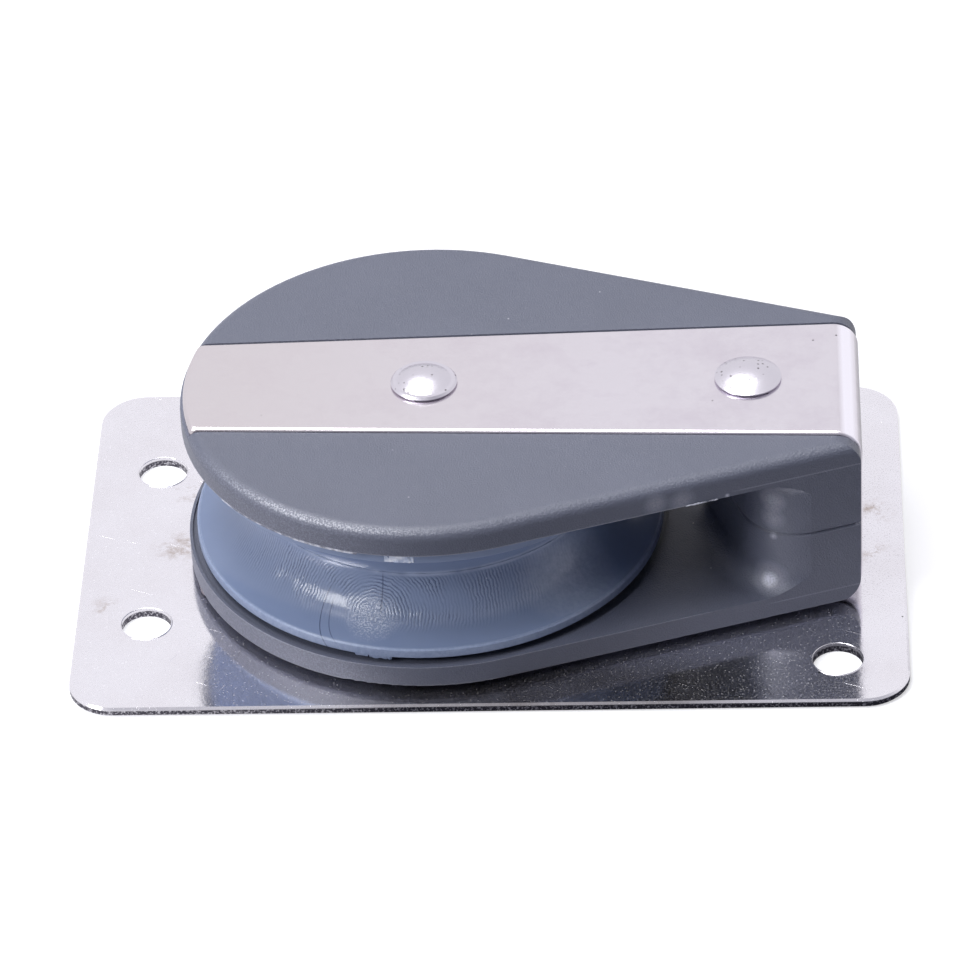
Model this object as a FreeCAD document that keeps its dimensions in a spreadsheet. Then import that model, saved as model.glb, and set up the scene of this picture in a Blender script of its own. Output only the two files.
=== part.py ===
import FreeCAD, Part
import math
import os

import Sketcher

# A foot block: one sheave between two moulded cheeks, clamped by a folded steel strap and two rivets to a
# mounting plate. X runs from the round head to the tail, Y across, and Z up from the plate's underside.
# The origin is the middle of that underside, and Y = 0 is the plane of symmetry.

# Driving dimensions in millimetres: name, value and what it measures
DIMENSIONS = [
    ("plate_length", 100.0, "mounting plate from end to end"),
    ("plate_width", 63.0, "mounting plate across"),
    ("plate_thick", 1.2, "sheet of the mounting plate"),
    ("plate_corner", 5.5, "plan radius of the plate's corners"),
    ("plate_edge", 0.25, "bevel of the plate's upper and lower edges"),
    ("screw_hole_radius", 3.0, "fixing holes in the plate"),
    ("screw_inset", 8.5, "fixing hole centres from the plate's ends"),
    ("head_spacing", 30.5, "between the two fixing holes at the head"),
    ("tail_spacing", 47.5, "between the two fixing holes at the tail"),
    ("tail_margin", 5.5, "plate beyond the end face of the tail post"),
    ("rivet_inset", 13.2, "tail rivet from that end face"),
    ("tail_reach", 52.0, "axle to the end face of the tail post"),
    ("head_radius", 29.4, "round head of the cheeks"),
    ("tail_half_width", 13.2, "cheeks at the end face, centre to side"),
    ("lower_thick", 3.0, "lower cheek beside the sheave"),
    ("upper_thick", 3.5, "upper cheek beside the sheave"),
    ("swallow", 16.5, "clear height between the cheeks"),
    ("recess_radius", 29.05, "round recess for the sheave in each cheek"),
    ("recess_depth", 0.4, "depth of that recess"),
    ("upper_round", 1.5, "outer edge of the upper cheek"),
    ("lower_round", 0.4, "outer edge of the lower cheek"),
    ("tail_round", 2.9, "outer corners of the tail, seen from the side"),
    ("post_nose_radius", 5.0, "post round the tail rivet"),
    ("post_corner_radius", 7.0, "corners of the post beside the rope"),
    ("post_corner_set", 7.6, "centres of those corners from the end face"),
    ("post_foot_round", 2.5, "blend from cheek to post"),
    ("post_spare", 0.03, "left on the post's straight sides until the cheek is trimmed to its outline"),
    ("joint_bevel", 0.25, "bevel round the joint between the post halves"),
    ("strap_thick", 1.2, "strip of the strap"),
    ("strap_head_half", 8.7, "half width of the strap at its round ends"),
    ("strap_tail_half", 11.4, "half width of the strap at the tail"),
    ("strap_head_radius", 29.0, "round ends of the strap, about the axle"),
    ("strap_corner", 1.0, "corners of those ends"),
    ("strap_edge", 0.55, "rounding of the strap's outer edges"),
    ("strap_bend", 1.9, "inside radius of the strap's bends"),
    ("upper_groove", 1.0, "strap's groove in the upper cheek"),
    ("lower_groove", 0.2, "strap's groove in the lower cheek"),
    ("tail_groove", 1.0, "strap's groove down the end face"),
    ("groove_gap", 0.25, "play between strap and groove"),
    ("rivet_radius", 2.5, "shanks of both rivets"),
    ("rivet_gap", 0.1, "play round the shanks"),
    ("rivet_flare", 0.9, "flare of the closed lower ends"),
    ("rivet_head_radius", 4.0, "heads of both rivets"),
    ("head_lift", 0.22, "height of the hollow under the heads' rims"),
    ("head_hollow", 0.35, "how far that hollow reaches in"),
    ("axle_brim", 0.55, "height of the axle rivet's brim"),
    ("brim_bevel", 0.25, "outer edge of that brim"),
    ("axle_dome_radius", 3.3, "dome inside that brim"),
    ("axle_dome_height", 0.95, "dome above that brim"),
    ("tail_brim", 0.35, "height of the tail rivet's edge"),
    ("tail_dome_height", 1.15, "dome above that edge"),
    ("axle_sleeve_radius", 4.5, "tube on which the sheave turns"),
    ("tail_sleeve_radius", 3.5, "spacer tube in the post"),
    ("sleeve_gap", 0.05, "play round both tubes in the cheeks"),
    ("running_gap", 0.05, "radial play of the sheave on its tube"),
    ("end_gap", 0.1, "play of the hub against each washer"),
    ("washer_radius", 8.0, "thrust washers"),
    ("washer_thick", 0.7, "thrust washers"),
    ("sheave_radius", 28.4, "sheave over its flanges"),
    ("rope_radius", 6.4, "half-round rope groove"),
    ("flange_edge", 1.35, "flange at its rim"),
    ("flange_bevel", 0.2, "edges of the flange's rim"),
    ("hub_radius", 9.0, "hub faces of the sheave"),
    ("web_depth", 0.9, "hollow in each side of the sheave, from the flange's face"),
    ("rim_width", 6.5, "flat ring between that hollow and the rim"),
]
SIZE = {name: value for name, value, note in DIMENSIONS}

# Places along X, as formulas of the driving dimensions: the axle from the plate's middle towards the head,
# and the tail rivet from the axle
AXLE_SET = "(Sizes.tail_reach + Sizes.tail_margin - Sizes.plate_length / 2)"
RIVET_REACH = "(Sizes.tail_reach - Sizes.rivet_inset)"

# Levels above the plate's underside, in the same way
LOWER_ARM_TOP = "Sizes.plate_thick + Sizes.strap_thick"
LOWER_FACE = LOWER_ARM_TOP + " - Sizes.lower_groove"
CHEEKS = "Sizes.lower_thick + Sizes.swallow + Sizes.upper_thick"
ARM_SPACE = f"{CHEEKS} - Sizes.lower_groove - Sizes.upper_groove"
UPPER_ARM_FOOT = f"{LOWER_ARM_TOP} + {ARM_SPACE}"
UPPER_FACE = f"{UPPER_ARM_FOOT} + Sizes.upper_groove"
STRAP_TOP = f"{UPPER_ARM_FOOT} + Sizes.strap_thick"
LOWER_FLOOR = f"{LOWER_FACE} + Sizes.lower_thick - Sizes.recess_depth"
MID_LEVEL = f"{LOWER_FACE} + Sizes.lower_thick + Sizes.swallow / 2"
HUB_HALF = "(Sizes.swallow / 2 + Sizes.recess_depth - Sizes.washer_thick - Sizes.end_gap)"
FLANGE_HALF = "(Sizes.rope_radius + Sizes.flange_edge)"

# Fall of the cheeks' straight sides towards the tail, in millimetres across for each along
SIDE_FALL = (
    "tan(90 deg - atan(Sizes.tail_half_width / Sizes.tail_reach)"
    " - acos(Sizes.head_radius / hypot(Sizes.tail_reach; Sizes.tail_half_width)))"
)

START, END, CENTRE = range(1, 4)
H_AXIS, V_AXIS = range(-1, -3, -1)
TOLERANCE = 0.001

document = FreeCAD.newDocument("pulley_block")
sheet = document.addObject("Spreadsheet::Sheet", "Sizes")
for row, (alias, value, note) in enumerate(DIMENSIONS, start=1):
    sheet.set(f"A{row}", alias)
    sheet.set(f"B{row}", str(value))
    sheet.set(f"C{row}", note)
    sheet.setAlias(f"B{row}", alias)
document.recompute()

probe = document.addObject("App::FeaturePython", "Formulas")
probe.addProperty("App::PropertyFloat", "Value")


def worth(formula):
    """the number that a formula of the sheet's cells gives"""
    probe.setExpression("Value", formula)
    document.recompute([probe])
    return probe.Value


def slope_of_side():
    """angle between the cheeks' straight sides and the X axis, in radians"""
    return math.atan(worth(SIDE_FALL))


# Sketches


class Outline:
    """a sketch on one of its body's origin planes, drawn edge by edge and tied to the sheet"""

    def __init__(self, body, name, plane="XY_Plane", level=None):
        self.sketch = body.newObject("Sketcher::SketchObject", name)
        support = next(item for item in body.Origin.OriginFeatures if item.Role == plane)
        self.sketch.AttachmentSupport = (support, [""])
        self.sketch.MapMode = "FlatFace"
        if level:
            self.sketch.setExpression("AttachmentOffset.Base.z", level)

    def line(self, start, end):
        return self.sketch.addGeometry(Part.LineSegment(FreeCAD.Vector(*start, 0), FreeCAD.Vector(*end, 0)))

    def arc(self, centre, radius, first, last):
        """an arc that runs anticlockwise from the first angle to the last, in radians"""
        circle = Part.Circle(FreeCAD.Vector(*centre, 0), FreeCAD.Vector(0, 0, 1), radius)
        return self.sketch.addGeometry(Part.ArcOfCircle(circle, first, last))

    def circle(self, centre, radius, x, y, size):
        rim = Part.Circle(FreeCAD.Vector(*centre, 0), FreeCAD.Vector(0, 0, 1), radius)
        edge = self.sketch.addGeometry(rim)
        self.place(edge, CENTRE, x, y)
        self.radius(edge, size)
        return edge

    def polygon(self, corners):
        """a closed run of straight edges, with each corner tied to its two formulas"""
        spots = [(worth(x), worth(y)) for x, y in corners]
        edges = [self.line(spot, spots[(number + 1) % len(spots)]) for number, spot in enumerate(spots)]
        for number, edge in enumerate(edges):
            self.join(edge, END, edges[(number + 1) % len(edges)], START)
            self.place(edge, START, *corners[number])
        return edges

    def guide(self, x, y):
        """a construction point tied to its two formulas"""
        point = self.sketch.addGeometry(Part.Point(FreeCAD.Vector(worth(x), worth(y), 0)), True)
        self.place(point, START, x, y)
        return point

    def join(self, edge, end, other, other_end):
        self.sketch.addConstraint(Sketcher.Constraint("Coincident", edge, end, other, other_end))

    def blend(self, edge, end, other, other_end):
        """the two edges meet there and run on smoothly"""
        self.sketch.addConstraint(Sketcher.Constraint("Tangent", edge, end, other, other_end))

    def on_edge(self, point, edge):
        self.sketch.addConstraint(Sketcher.Constraint("PointOnObject", point, START, edge))

    def on_origin(self, edge, end):
        self.sketch.addConstraint(Sketcher.Constraint("Coincident", edge, end, H_AXIS, START))

    def level(self, *edges):
        for edge in edges:
            self.sketch.addConstraint(Sketcher.Constraint("Horizontal", edge))

    def upright(self, *edges):
        for edge in edges:
            self.sketch.addConstraint(Sketcher.Constraint("Vertical", edge))

    def tie(self, formula, *parts):
        number = self.sketch.addConstraint(Sketcher.Constraint(*parts))
        self.sketch.setExpression(f"Constraints[{number}]", formula)

    def place(self, edge, end, x=None, y=None):
        """hold a point at the formulas' distances from the sketch's origin"""
        spot = self.sketch.getPoint(edge, end)
        across, up = (x, "DistanceX", spot.x, V_AXIS), (y, "DistanceY", spot.y, H_AXIS)
        for formula, kind, value, axis in (across, up):
            if formula is None:
                continue
            if formula == "0":
                self.sketch.addConstraint(Sketcher.Constraint("PointOnObject", edge, end, axis))
            else:
                self.tie(formula, kind, edge, end, value)

    def radius(self, edge, formula):
        self.tie(formula, "Radius", edge, worth(formula))


# Features


def new_body(name, x=None, z=None):
    """a body whose own origin is moved along X and up to a level"""
    body = document.addObject("PartDesign::Body", name)
    body.Label = name
    if x:
        body.setExpression("Placement.Base.x", x)
    if z:
        body.setExpression("Placement.Base.z", z)
    return body


def settle(feature):
    """recompute, and stop at the first sketch or feature that fails"""
    document.recompute()
    for item in (getattr(feature, "Profile", (None,))[0], feature):
        if item is not None and ("Invalid" in item.State or "Error" in item.State):
            raise RuntimeError(f"{item.Name} is {item.State}: {item.getStatusString()}")
    return feature


def pad(body, outline, name, length, symmetric=False):
    feature = body.newObject("PartDesign::Pad", name)
    feature.Profile = outline.sketch
    feature.setExpression("Length", length)
    if symmetric:
        feature.SideType = "Symmetric"
    return settle(feature)


def pocket(body, outline, name, depth=None, symmetric=False):
    """cut the outline into the body: to a depth, or right through both ways; it must take material away"""
    before = body.Shape.Volume
    feature = body.newObject("PartDesign::Pocket", name)
    feature.Profile = outline.sketch
    if depth:
        feature.setExpression("Length", depth)
    else:
        feature.Type = "ThroughAll"
    if symmetric:
        feature.SideType = "Symmetric"
    settle(feature)
    if body.Shape.Volume >= before - TOLERANCE:
        raise RuntimeError(f"{body.Name}.{name} cuts nothing")
    return feature


def turn(body, outline, name):
    """revolve the outline once round the body's Z axis"""
    feature = body.newObject("PartDesign::Revolution", name)
    feature.Profile = outline.sketch
    feature.ReferenceAxis = (outline.sketch, ["V_Axis"])
    feature.Angle = 360
    return settle(feature)


def edges_where(shape, wanted):
    """names of the edges whose every sampled point satisfies the test"""
    names = []
    for number, edge in enumerate(shape.Edges, start=1):
        first, last = edge.ParameterRange
        spots = [edge.valueAt(first + (last - first) * share) for share in (0.0, 0.25, 0.5, 0.75, 1.0)]
        if all(wanted(spot) for spot in spots):
            names.append(f"Edge{number}")
    if not names:
        raise RuntimeError("no edge lies where the rounding belongs")
    return names


def soften(body, name, size, wanted, kind="Fillet"):
    """round or bevel the edges that the test picks"""
    base = body.Tip
    feature = body.newObject("PartDesign::" + kind, name)
    feature.Base = (base, edges_where(base.Shape, wanted))
    feature.setExpression("Radius" if kind == "Fillet" else "Size", size)
    return settle(feature)


def near(value, target, slack=0.01):
    return abs(value - target) < slack


# Mounting plate


def rounded_rectangle(outline, half_length, half_width, corner):
    x, y, r = worth(half_length), worth(half_width), worth(corner)
    bottom = outline.line((-x + r, -y), (x - r, -y))
    right = outline.line((x, -y + r), (x, y - r))
    top = outline.line((x - r, y), (-x + r, y))
    left = outline.line((-x, y - r), (-x, -y + r))
    quarter = math.pi / 2
    low_right = outline.arc((x - r, -y + r), r, -quarter, 0)
    high_right = outline.arc((x - r, y - r), r, 0, quarter)
    high_left = outline.arc((-x + r, y - r), r, quarter, 2 * quarter)
    low_left = outline.arc((-x + r, -y + r), r, 2 * quarter, 3 * quarter)
    ring = [bottom, low_right, right, high_right, top, high_left, left, low_left]
    for edge, following in zip(ring, ring[1:] + ring[:1]):
        outline.blend(edge, END, following, START)
    outline.level(bottom, top)
    outline.upright(left, right)
    for arc in (low_right, high_right, high_left, low_left):
        outline.radius(arc, corner)
    outline.place(right, START, x=half_length)
    outline.place(left, START, x=f"-({half_length})")
    outline.place(top, START, y=half_width)
    outline.place(bottom, START, y=f"-({half_width})")


def base_plate():
    body = new_body("base_plate")
    rim = Outline(body, "plate_outline")
    rounded_rectangle(rim, "Sizes.plate_length / 2", "Sizes.plate_width / 2", "Sizes.plate_corner")
    pad(body, rim, "plate_sheet", "Sizes.plate_thick")
    thick = SIZE["plate_thick"]
    soften(body, "plate_edges", "Sizes.plate_edge", lambda p: near(p.z, 0) or near(p.z, thick), "Chamfer")

    holes = Outline(body, "screw_holes")
    for end, spacing in ((-1, "head_spacing"), (1, "tail_spacing")):
        for side in (-1, 1):
            x = f"{end} * (Sizes.plate_length / 2 - Sizes.screw_inset)"
            y = f"{side} * Sizes.{spacing} / 2"
            holes.circle((worth(x), worth(y)), SIZE["screw_hole_radius"], x, y, "Sizes.screw_hole_radius")
    pocket(body, holes, "screw_holes_cut", symmetric=True)

    shanks = Outline(body, "rivet_holes")
    for x in (f"-{AXLE_SET}", f"{RIVET_REACH} - {AXLE_SET}"):
        size = "Sizes.rivet_radius + Sizes.rivet_gap"
        shanks.circle((worth(x), 0), worth(size), x, "0", size)
    pocket(body, shanks, "rivet_holes_cut", symmetric=True)
    reach = SIZE["rivet_radius"] + SIZE["rivet_gap"]
    spots = (-worth(AXLE_SET), worth(RIVET_REACH) - worth(AXLE_SET))
    soften(
        body,
        "countersinks",
        "Sizes.rivet_flare",
        lambda p: near(p.z, 0) and any(near(math.hypot(p.x - spot, p.y), reach) for spot in spots),
        "Chamfer",
    )
    return body


# Strap and the room that it takes in the cheeks


def folded_strip(name, thick, bend, overhang):
    """a strip folded twice into a U that is open at the head: both arms and the leg down the tail"""
    body = new_body(name, x=f"-{AXLE_SET}")
    outline = Outline(body, "fold_" + name, plane="XZ_Plane")
    head = f"-Sizes.strap_head_radius - {overhang}"
    leg = "Sizes.tail_reach - Sizes.tail_groove"
    x_head, x_leg, low, high = worth(head), worth(leg), worth(LOWER_ARM_TOP), worth(UPPER_ARM_FOOT)
    t, r = worth(thick), worth(bend)
    quarter = math.pi / 2
    low_outer = outline.line((x_head, low - t), (x_leg - r, low - t))
    low_bend = outline.arc((x_leg - r, low + r), r + t, -quarter, 0)
    leg_outer = outline.line((x_leg + t, low + r), (x_leg + t, high - r))
    high_bend = outline.arc((x_leg - r, high - r), r + t, 0, quarter)
    high_outer = outline.line((x_leg - r, high + t), (x_head, high + t))
    high_end = outline.line((x_head, high + t), (x_head, high))
    high_inner = outline.line((x_head, high), (x_leg - r, high))
    high_hollow = outline.arc((x_leg - r, high - r), r, 0, quarter)
    leg_inner = outline.line((x_leg, high - r), (x_leg, low + r))
    low_hollow = outline.arc((x_leg - r, low + r), r, -quarter, 0)
    low_inner = outline.line((x_leg - r, low), (x_head, low))
    low_end = outline.line((x_head, low), (x_head, low - t))
    outline.blend(low_outer, END, low_bend, START)
    outline.blend(low_bend, END, leg_outer, START)
    outline.blend(leg_outer, END, high_bend, START)
    outline.blend(high_bend, END, high_outer, START)
    outline.join(high_outer, END, high_end, START)
    outline.join(high_end, END, high_inner, START)
    outline.blend(high_inner, END, high_hollow, END)
    outline.blend(high_hollow, START, leg_inner, START)
    outline.blend(leg_inner, END, low_hollow, END)
    outline.blend(low_hollow, START, low_inner, START)
    outline.join(low_inner, END, low_end, START)
    outline.join(low_end, END, low_outer, START)
    outline.level(low_outer, high_outer, low_inner, high_inner)
    outline.upright(leg_outer, leg_inner, low_end, high_end)
    outline.join(low_bend, CENTRE, low_hollow, CENTRE)
    outline.join(high_bend, CENTRE, high_hollow, CENTRE)
    outline.radius(low_hollow, bend)
    outline.radius(high_hollow, bend)
    outline.place(low_outer, START, x=head, y=f"{LOWER_ARM_TOP} - ({thick})")
    outline.place(high_outer, END, x=head)
    outline.place(low_inner, END, y=LOWER_ARM_TOP)
    outline.place(high_inner, START, y=UPPER_ARM_FOOT)
    outline.place(leg_inner, START, x=leg)
    pad(body, outline, "fold_pad_" + name, "2 * Sizes.head_radius", symmetric=True)
    return body


def taper_sides(body, gap):
    """cut both sides of a strip to the strap's taper, with a gap outside it"""
    outline = Outline(body, "taper_" + body.Name)
    far_x = "-Sizes.head_radius - Sizes.upper_thick"
    near_x = "Sizes.tail_reach + 2 * Sizes.upper_thick"
    run = SIZE["tail_reach"] + SIZE["strap_head_radius"]
    rise = (SIZE["strap_tail_half"] - SIZE["strap_head_half"]) / run
    for side in (-1, 1):
        edge_y = f"{side} * (Sizes.head_radius + Sizes.upper_thick)"
        far, tip, outside = worth(far_x), worth(near_x), worth(edge_y)
        margin = worth(gap)
        start = side * (SIZE["strap_head_half"] + margin + rise * (far + SIZE["strap_head_radius"]))
        finish = side * (SIZE["strap_tail_half"] + margin + rise * (tip - SIZE["tail_reach"]))
        slant = outline.line((far, start), (tip, finish))
        tail = outline.line((tip, finish), (tip, outside))
        border = outline.line((tip, outside), (far, outside))
        head = outline.line((far, outside), (far, start))
        ring = [slant, tail, border, head]
        for edge, following in zip(ring, ring[1:] + ring[:1]):
            outline.join(edge, END, following, START)
        outline.upright(tail, head)
        outline.level(border)
        outline.place(border, START, x=near_x, y=edge_y)
        outline.place(border, END, x=far_x)
        for x, half in (("-Sizes.strap_head_radius", "head"), ("Sizes.tail_reach", "tail")):
            mark = outline.guide(x, f"{side} * (Sizes.strap_{half}_half + {gap})")
            outline.on_edge(mark, slant)
    return pocket(body, outline, "taper_cut_" + body.Name, symmetric=True)


def strap():
    body = folded_strip("strap", "Sizes.strap_thick", "Sizes.strap_bend", "Sizes.strap_thick")
    taper_sides(body, "0")
    round_end = Outline(body, "strap_round_end")
    curve_radius = SIZE["strap_head_radius"]
    far_x = "-Sizes.head_radius - Sizes.upper_thick"
    far, wide = worth(far_x), SIZE["head_radius"]
    across = math.sqrt(curve_radius ** 2 - SIZE["strap_tail_half"] ** 2)
    angle = math.atan2(SIZE["strap_tail_half"], -across)
    tip = SIZE["strap_tail_half"]
    curve = round_end.arc((0, 0), curve_radius, angle, 2 * math.pi - angle)
    low_step = round_end.line((-across, -tip), (-across, -wide))
    low_side = round_end.line((-across, -wide), (far, -wide))
    back = round_end.line((far, -wide), (far, wide))
    high_side = round_end.line((far, wide), (-across, wide))
    high_step = round_end.line((-across, wide), (-across, tip))
    ring = [low_step, low_side, back, high_side, high_step]
    for edge, following in zip(ring, ring[1:]):
        round_end.join(edge, END, following, START)
    round_end.join(high_step, END, curve, START)
    round_end.join(curve, END, low_step, START)
    round_end.upright(low_step, back, high_step)
    round_end.level(low_side, high_side)
    round_end.on_origin(curve, CENTRE)
    round_end.radius(curve, "Sizes.strap_head_radius")
    round_end.place(curve, START, y="Sizes.strap_tail_half")
    round_end.place(curve, END, y="-Sizes.strap_tail_half")
    round_end.place(back, START, x=far_x, y="-Sizes.head_radius")
    round_end.place(back, END, y="Sizes.head_radius")
    pocket(body, round_end, "strap_end_cut", symmetric=True)

    holes = Outline(body, "strap_rivet_holes")
    size = "Sizes.rivet_radius + Sizes.rivet_gap"
    holes.circle((0, 0), worth(size), "0", "0", size)
    reach = worth(RIVET_REACH)
    holes.circle((reach, 0), worth(size), RIVET_REACH, "0", size)
    pocket(body, holes, "strap_rivet_holes_cut", symmetric=True)

    def upright_corner(edge):
        ends = [vertex.Point for vertex in edge.Vertexes]
        if len(ends) != 2 or not near(ends[0].x, ends[1].x) or not near(ends[0].y, ends[1].y):
            return False
        return ends[0].x < 0 and abs(ends[0].y) > SIZE["strap_head_half"] / 2

    base = body.Tip
    numbered = enumerate(base.Shape.Edges, start=1)
    rounding = body.newObject("PartDesign::Fillet", "strap_corners")
    rounding.Base = (base, [f"Edge{number}" for number, edge in numbered if upright_corner(edge)])
    rounding.setExpression("Radius", "Sizes.strap_corner")
    settle(rounding)

    top = worth(STRAP_TOP)
    clear = worth(size) + TOLERANCE

    def outer_rim(p):
        off_holes = min(math.hypot(p.x, p.y), math.hypot(p.x - reach, p.y)) > clear
        return near(p.z, top) and off_holes

    soften(body, "strap_edges", "Sizes.strap_edge", outer_rim)
    return body


def strap_room():
    """what the strap's grooves take out of the cheeks"""
    body = folded_strip(
        "strap_room",
        "Sizes.strap_thick + Sizes.upper_thick",
        "Sizes.strap_bend + Sizes.groove_gap",
        "Sizes.upper_thick",
    )
    taper_sides(body, "Sizes.groove_gap")
    return body


# Cheeks


def post_outline(outline):
    """nose round the tail rivet, straight flanks, round corners and sides that run along the cheek's"""
    slope = slope_of_side()
    nose = (worth(RIVET_REACH), 0)
    nose_r, corner_r = SIZE["post_nose_radius"], SIZE["post_corner_radius"]
    corner_x = SIZE["tail_reach"] - SIZE["post_corner_set"]
    end_y = SIZE["tail_half_width"] + SIZE["post_spare"]
    corner_y = end_y + SIZE["post_corner_set"] * math.tan(slope) - corner_r / math.cos(slope)
    span = math.hypot(corner_x - nose[0], corner_y)
    lean = math.atan2(corner_y, corner_x - nose[0])
    flank = lean + math.acos((nose_r - corner_r) / span)
    end_x = SIZE["tail_reach"]
    leave = math.pi / 2 - slope

    def on(centre, radius, angle):
        return (centre[0] + radius * math.cos(angle), centre[1] + radius * math.sin(angle))

    high_corner, low_corner = (corner_x, corner_y), (corner_x, -corner_y)
    nose_arc = outline.arc(nose, nose_r, flank, 2 * math.pi - flank)
    low_flank = outline.line(on(nose, nose_r, -flank), on(low_corner, corner_r, -flank))
    low_arc = outline.arc(low_corner, corner_r, 2 * math.pi - flank, 2 * math.pi - leave)
    low_side = outline.line(on(low_corner, corner_r, -leave), (end_x, -end_y))
    end = outline.line((end_x, -end_y), (end_x, end_y))
    high_side = outline.line((end_x, end_y), on(high_corner, corner_r, leave))
    high_arc = outline.arc(high_corner, corner_r, leave, flank)
    high_flank = outline.line(on(high_corner, corner_r, flank), on(nose, nose_r, flank))
    ring = [nose_arc, low_flank, low_arc, low_side]
    for edge, following in zip(ring, ring[1:]):
        outline.blend(edge, END, following, START)
    outline.join(low_side, END, end, START)
    outline.join(end, END, high_side, START)
    outline.blend(high_side, END, high_arc, START)
    outline.blend(high_arc, END, high_flank, START)
    outline.blend(high_flank, END, nose_arc, START)
    outline.place(nose_arc, CENTRE, x=RIVET_REACH, y="0")
    outline.radius(nose_arc, "Sizes.post_nose_radius")
    corner = "Sizes.tail_reach - Sizes.post_corner_set"
    for arc in (low_arc, high_arc):
        outline.radius(arc, "Sizes.post_corner_radius")
        outline.place(arc, CENTRE, x=corner)
    half = "(Sizes.tail_half_width + Sizes.post_spare)"
    outline.place(end, START, x="Sizes.tail_reach", y=f"-{half}")
    outline.place(end, END, x="Sizes.tail_reach", y=half)

    # the cheek's own side line, which gives each side of the post its direction
    for side, post_side in ((-1, low_side), (1, high_side)):
        touch = (SIZE["head_radius"] * math.sin(slope), side * SIZE["head_radius"] * math.cos(slope))
        line = outline.line(touch, (end_x, side * SIZE["tail_half_width"]))
        outline.sketch.toggleConstruction(line)
        meeting = side * (math.pi / 2 - slope)
        head = outline.arc((0, 0), SIZE["head_radius"], *sorted((meeting, 2 * meeting)))
        outline.sketch.toggleConstruction(head)
        outline.on_origin(head, CENTRE)
        outline.radius(head, "Sizes.head_radius")
        outline.place(line, END, x="Sizes.tail_reach", y=f"{side} * Sizes.tail_half_width")
        outline.blend(line, START, head, START if side > 0 else END)
        outline.sketch.addConstraint(Sketcher.Constraint("Parallel", line, post_side))


def teardrop_trim(body):
    """cut away all that lies outside the round head and the two straight sides"""
    slope = slope_of_side()
    radius = SIZE["head_radius"]
    touch = (radius * math.sin(slope), radius * math.cos(slope))
    near_x, far_x = "Sizes.tail_reach + Sizes.upper_thick", "-Sizes.head_radius - 2 * Sizes.upper_thick"
    edge_y = "Sizes.head_radius + 2 * Sizes.upper_thick"
    tip, far, wide = worth(near_x), worth(far_x), worth(edge_y)
    tip_y = SIZE["tail_half_width"] - (tip - SIZE["tail_reach"]) * math.tan(slope)
    outline = Outline(body, "teardrop")
    high_side = outline.line(touch, (tip, tip_y))
    high_step = outline.line((tip, tip_y), (tip, wide))
    high_edge = outline.line((tip, wide), (far, wide))
    back = outline.line((far, wide), (far, -wide))
    low_edge = outline.line((far, -wide), (tip, -wide))
    low_step = outline.line((tip, -wide), (tip, -tip_y))
    low_side = outline.line((tip, -tip_y), (touch[0], -touch[1]))
    head = outline.arc((0, 0), radius, math.pi / 2 - slope, 1.5 * math.pi + slope)
    ring = [high_side, high_step, high_edge, back, low_edge, low_step, low_side]
    for edge, following in zip(ring, ring[1:]):
        outline.join(edge, END, following, START)
    outline.blend(low_side, END, head, END)
    outline.blend(head, START, high_side, START)
    outline.level(high_edge, low_edge)
    outline.upright(high_step, back, low_step)
    outline.on_origin(head, CENTRE)
    outline.radius(head, "Sizes.head_radius")
    outline.place(high_edge, START, x=near_x, y=edge_y)
    outline.place(low_edge, START, x=far_x, y=f"-({edge_y})")
    outline.place(low_step, START, x=near_x)
    for side, line in ((1, high_side), (-1, low_side)):
        outline.on_edge(outline.guide("Sizes.tail_reach", f"{side} * Sizes.tail_half_width"), line)
    return pocket(body, outline, "teardrop_cut", symmetric=True)


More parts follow.
